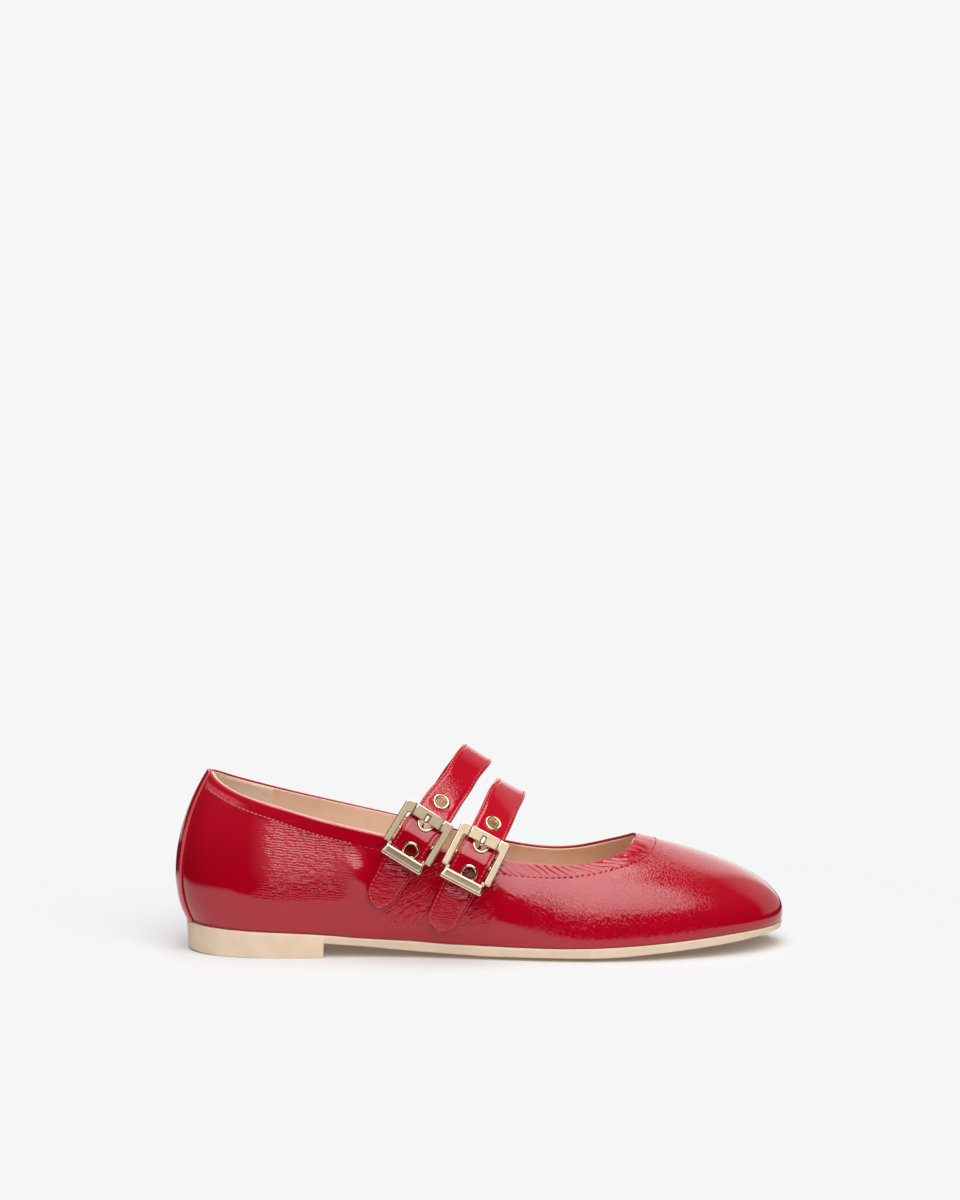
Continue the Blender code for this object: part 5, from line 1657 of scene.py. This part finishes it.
def make_world():
    """Pale backdrop for the camera; for the shoe, a dark studio, an overhead scrim and a lit back wall."""
    world = bpy.data.worlds.new("studio")
    bpy.context.scene.world = world
    world.use_nodes = True
    tree = Tree(world.node_tree)
    tree.nodes.clear()
    x, y, z = tree.add("SeparateXYZ", {0: tree.add("TexCoord").outputs["Generated"]}).outputs
    height = tree.math("MAXIMUM", z, 0.02)
    across = tree.math("DIVIDE", x, height)
    forward = tree.math("DIVIDE", tree.math("MULTIPLY", y, -1.0), height)

    def inside(edge):
        start = -edge.inward[0] * edge.through[0] - edge.inward[1] * edge.through[1]
        distance = tree.math("MULTIPLY_ADD", across, edge.inward[0], start)
        distance = tree.math("MULTIPLY_ADD", forward, edge.inward[1], distance)
        return tree.step(distance, -edge.soft, edge.soft)

    front, top = (tree.product(*map(inside, scrim)) for scrim in (FRONT_SCRIM, TOP_SCRIM))
    scrim = tree.product(tree.math("MAXIMUM", front, top), tree.step(z, 0.05, 0.3))
    slope = tree.math("ADD", across, tree.math("MULTIPLY", forward, 0.5))
    level = tree.step(slope, 0.3, 1.6, SCRIM_LIGHT, SCRIM_FAR_LIGHT)
    room = tree.step(z, -0.1, 1.0, *ROOM_LIGHT)
    wall = tree.product(tree.step(tree.math("MULTIPLY_ADD", x, 1.2, y), 0.80, 1.35, 0.0, WALL_LIGHT),
                        tree.step(z, 1.0, 0.85), tree.step(y, 0.0, 0.3))
    back = tree.product(tree.step(tree.math("ADD", x, y), 0.80, 1.00, 0.0, BACK_LIGHT),
                        tree.step(x, -0.6, -0.3), tree.step(x, 0.56, 0.36), tree.step(y, 0.25, 0.45))
    rays = tree.add("LightPath").outputs
    behind = tree.product(tree.math("MAXIMUM", wall, back), rays["Is Glossy Ray"])
    strength = tree.math("MULTIPLY_ADD", scrim, level, tree.math("MAXIMUM", room, behind))
    studio = tree.add("Background", {"Color": (1.0, 1.0, 1.0, 1.0), "Strength": strength}).outputs[0]
    backdrop = tree.add("Background", {"Color": BACKGROUND}).outputs[0]
    seen = tree.add("MixShader", {0: rays["Is Camera Ray"], 1: studio, 2: backdrop}).outputs[0]
    tree.add("OutputWorld", {"Surface": seen})


# The lit floor turns into the even backdrop between the two distances of FLOOR_EDGE from the shoe's middle.
# In the shoe's reflections it ends sooner, at MIRROR_EDGE outside the shoe's footprint, and the rest is dark,
# apart from the far floor behind the shoe.
FLOOR_RADIUS = 40.0
FLOOR_SIDES = 96
FLOOR_COLOUR = (0.645, 0.669, 0.684, 1.0)
FLOOR_GLOW = (0.105, 0.085, 0.070, 1.0)
FLOOR_EDGE = (0.24, 0.34)
MIRROR_EDGE = (0.050, 0.090)
MIRROR_HALF_WIDTH = 0.04
MIRROR_TOE = 0.125
MIRROR_HEEL = 0.0625
MIRROR_HEEL_SPREAD = 0.3
MIRROR_BEHIND = (0.1, 0.3)
MIRROR_DARK, MIRROR_LIT = 0.02, 0.75


def make_floor():
    """A pale table: it takes the shoe's soft shadow, and turns into the even backdrop a step away."""
    mesh = bpy.data.meshes.new("floor")
    around = np.linspace(0.0, 2.0 * math.pi, FLOOR_SIDES, endpoint=False)
    mesh.from_pydata([(FLOOR_RADIUS * math.cos(a), FLOOR_RADIUS * math.sin(a), 0.0) for a in around],
                     [], [list(range(FLOOR_SIDES))])
    floor = bpy.data.objects.new("floor", mesh)
    bpy.context.scene.collection.objects.link(floor)
    paper = bpy.data.materials.new("floor_paper")
    paper.use_nodes = True
    tree = Tree(paper.node_tree)
    tree.nodes.clear()
    position = tree.add("NewGeometry").outputs["Position"]
    x, y, _ = tree.add("SeparateXYZ", {0: position}).outputs
    away = tree.add("VectorMath", {0: position}, operation="LENGTH").outputs["Value"]
    rays = tree.add("LightPath").outputs
    glossy, camera = rays["Is Glossy Ray"], rays["Is Camera Ray"]
    side = tree.math("MULTIPLY_ADD", tree.math("MINIMUM", x, 0.0), MIRROR_HEEL_SPREAD, -MIRROR_HALF_WIDTH)
    side = tree.math("ADD", tree.math("ABSOLUTE", y), side)
    clear = tree.math("MAXIMUM", side, tree.math("SUBTRACT", x, MIRROR_TOE))
    clear = tree.math("MAXIMUM", clear, tree.math("MULTIPLY_ADD", x, -0.5, -MIRROR_HEEL))
    unlit = tree.product(tree.step(clear, *MIRROR_EDGE), glossy)
    far = tree.math("MAXIMUM", tree.step(away, *FLOOR_EDGE), unlit)
    behind = tree.math("SUBTRACT", y, tree.math("ABSOLUTE", x))
    mirrored = tree.product(tree.step(behind, *MIRROR_BEHIND), glossy)
    strength = tree.math("MULTIPLY_ADD", mirrored, MIRROR_LIT, MIRROR_DARK)
    paper_shade = tree.add("BsdfDiffuse", {"Color": FLOOR_COLOUR}).outputs[0]
    glow = tree.add("Emission", {"Color": FLOOR_GLOW}).outputs[0]
    near = tree.add("AddShader", {0: paper_shade, 1: glow}).outputs[0]
    even = tree.add("Emission", {"Color": BACKGROUND}).outputs[0]
    rest = tree.add("Emission", {"Color": BACKGROUND, "Strength": strength}).outputs[0]
    distant = tree.add("MixShader", {0: camera, 1: rest, 2: even}).outputs[0]
    tree.add("OutputMaterial", {"Surface": tree.add("MixShader", {0: far, 1: near, 2: distant}).outputs[0]})
    mesh.materials.append(paper)


# --- The shoe and its stage ---

make_camera()
make_world()
make_floor()
make_outsole()
make_insole()
make_upper()
make_lining()
make_heel_grip()
make_back_strip()
make_topline_stitches()
quarter = Quarter()
for strap_name in SEATS:
    band = Strap(strap_name, quarter)
    make_strap(band)
    make_strap_stitches(band)
    make_eyelets(band)
    make_frame(band)
    make_keeper(band)
    make_prong(band)

bpy.context.scene.view_settings.view_transform = "Standard"
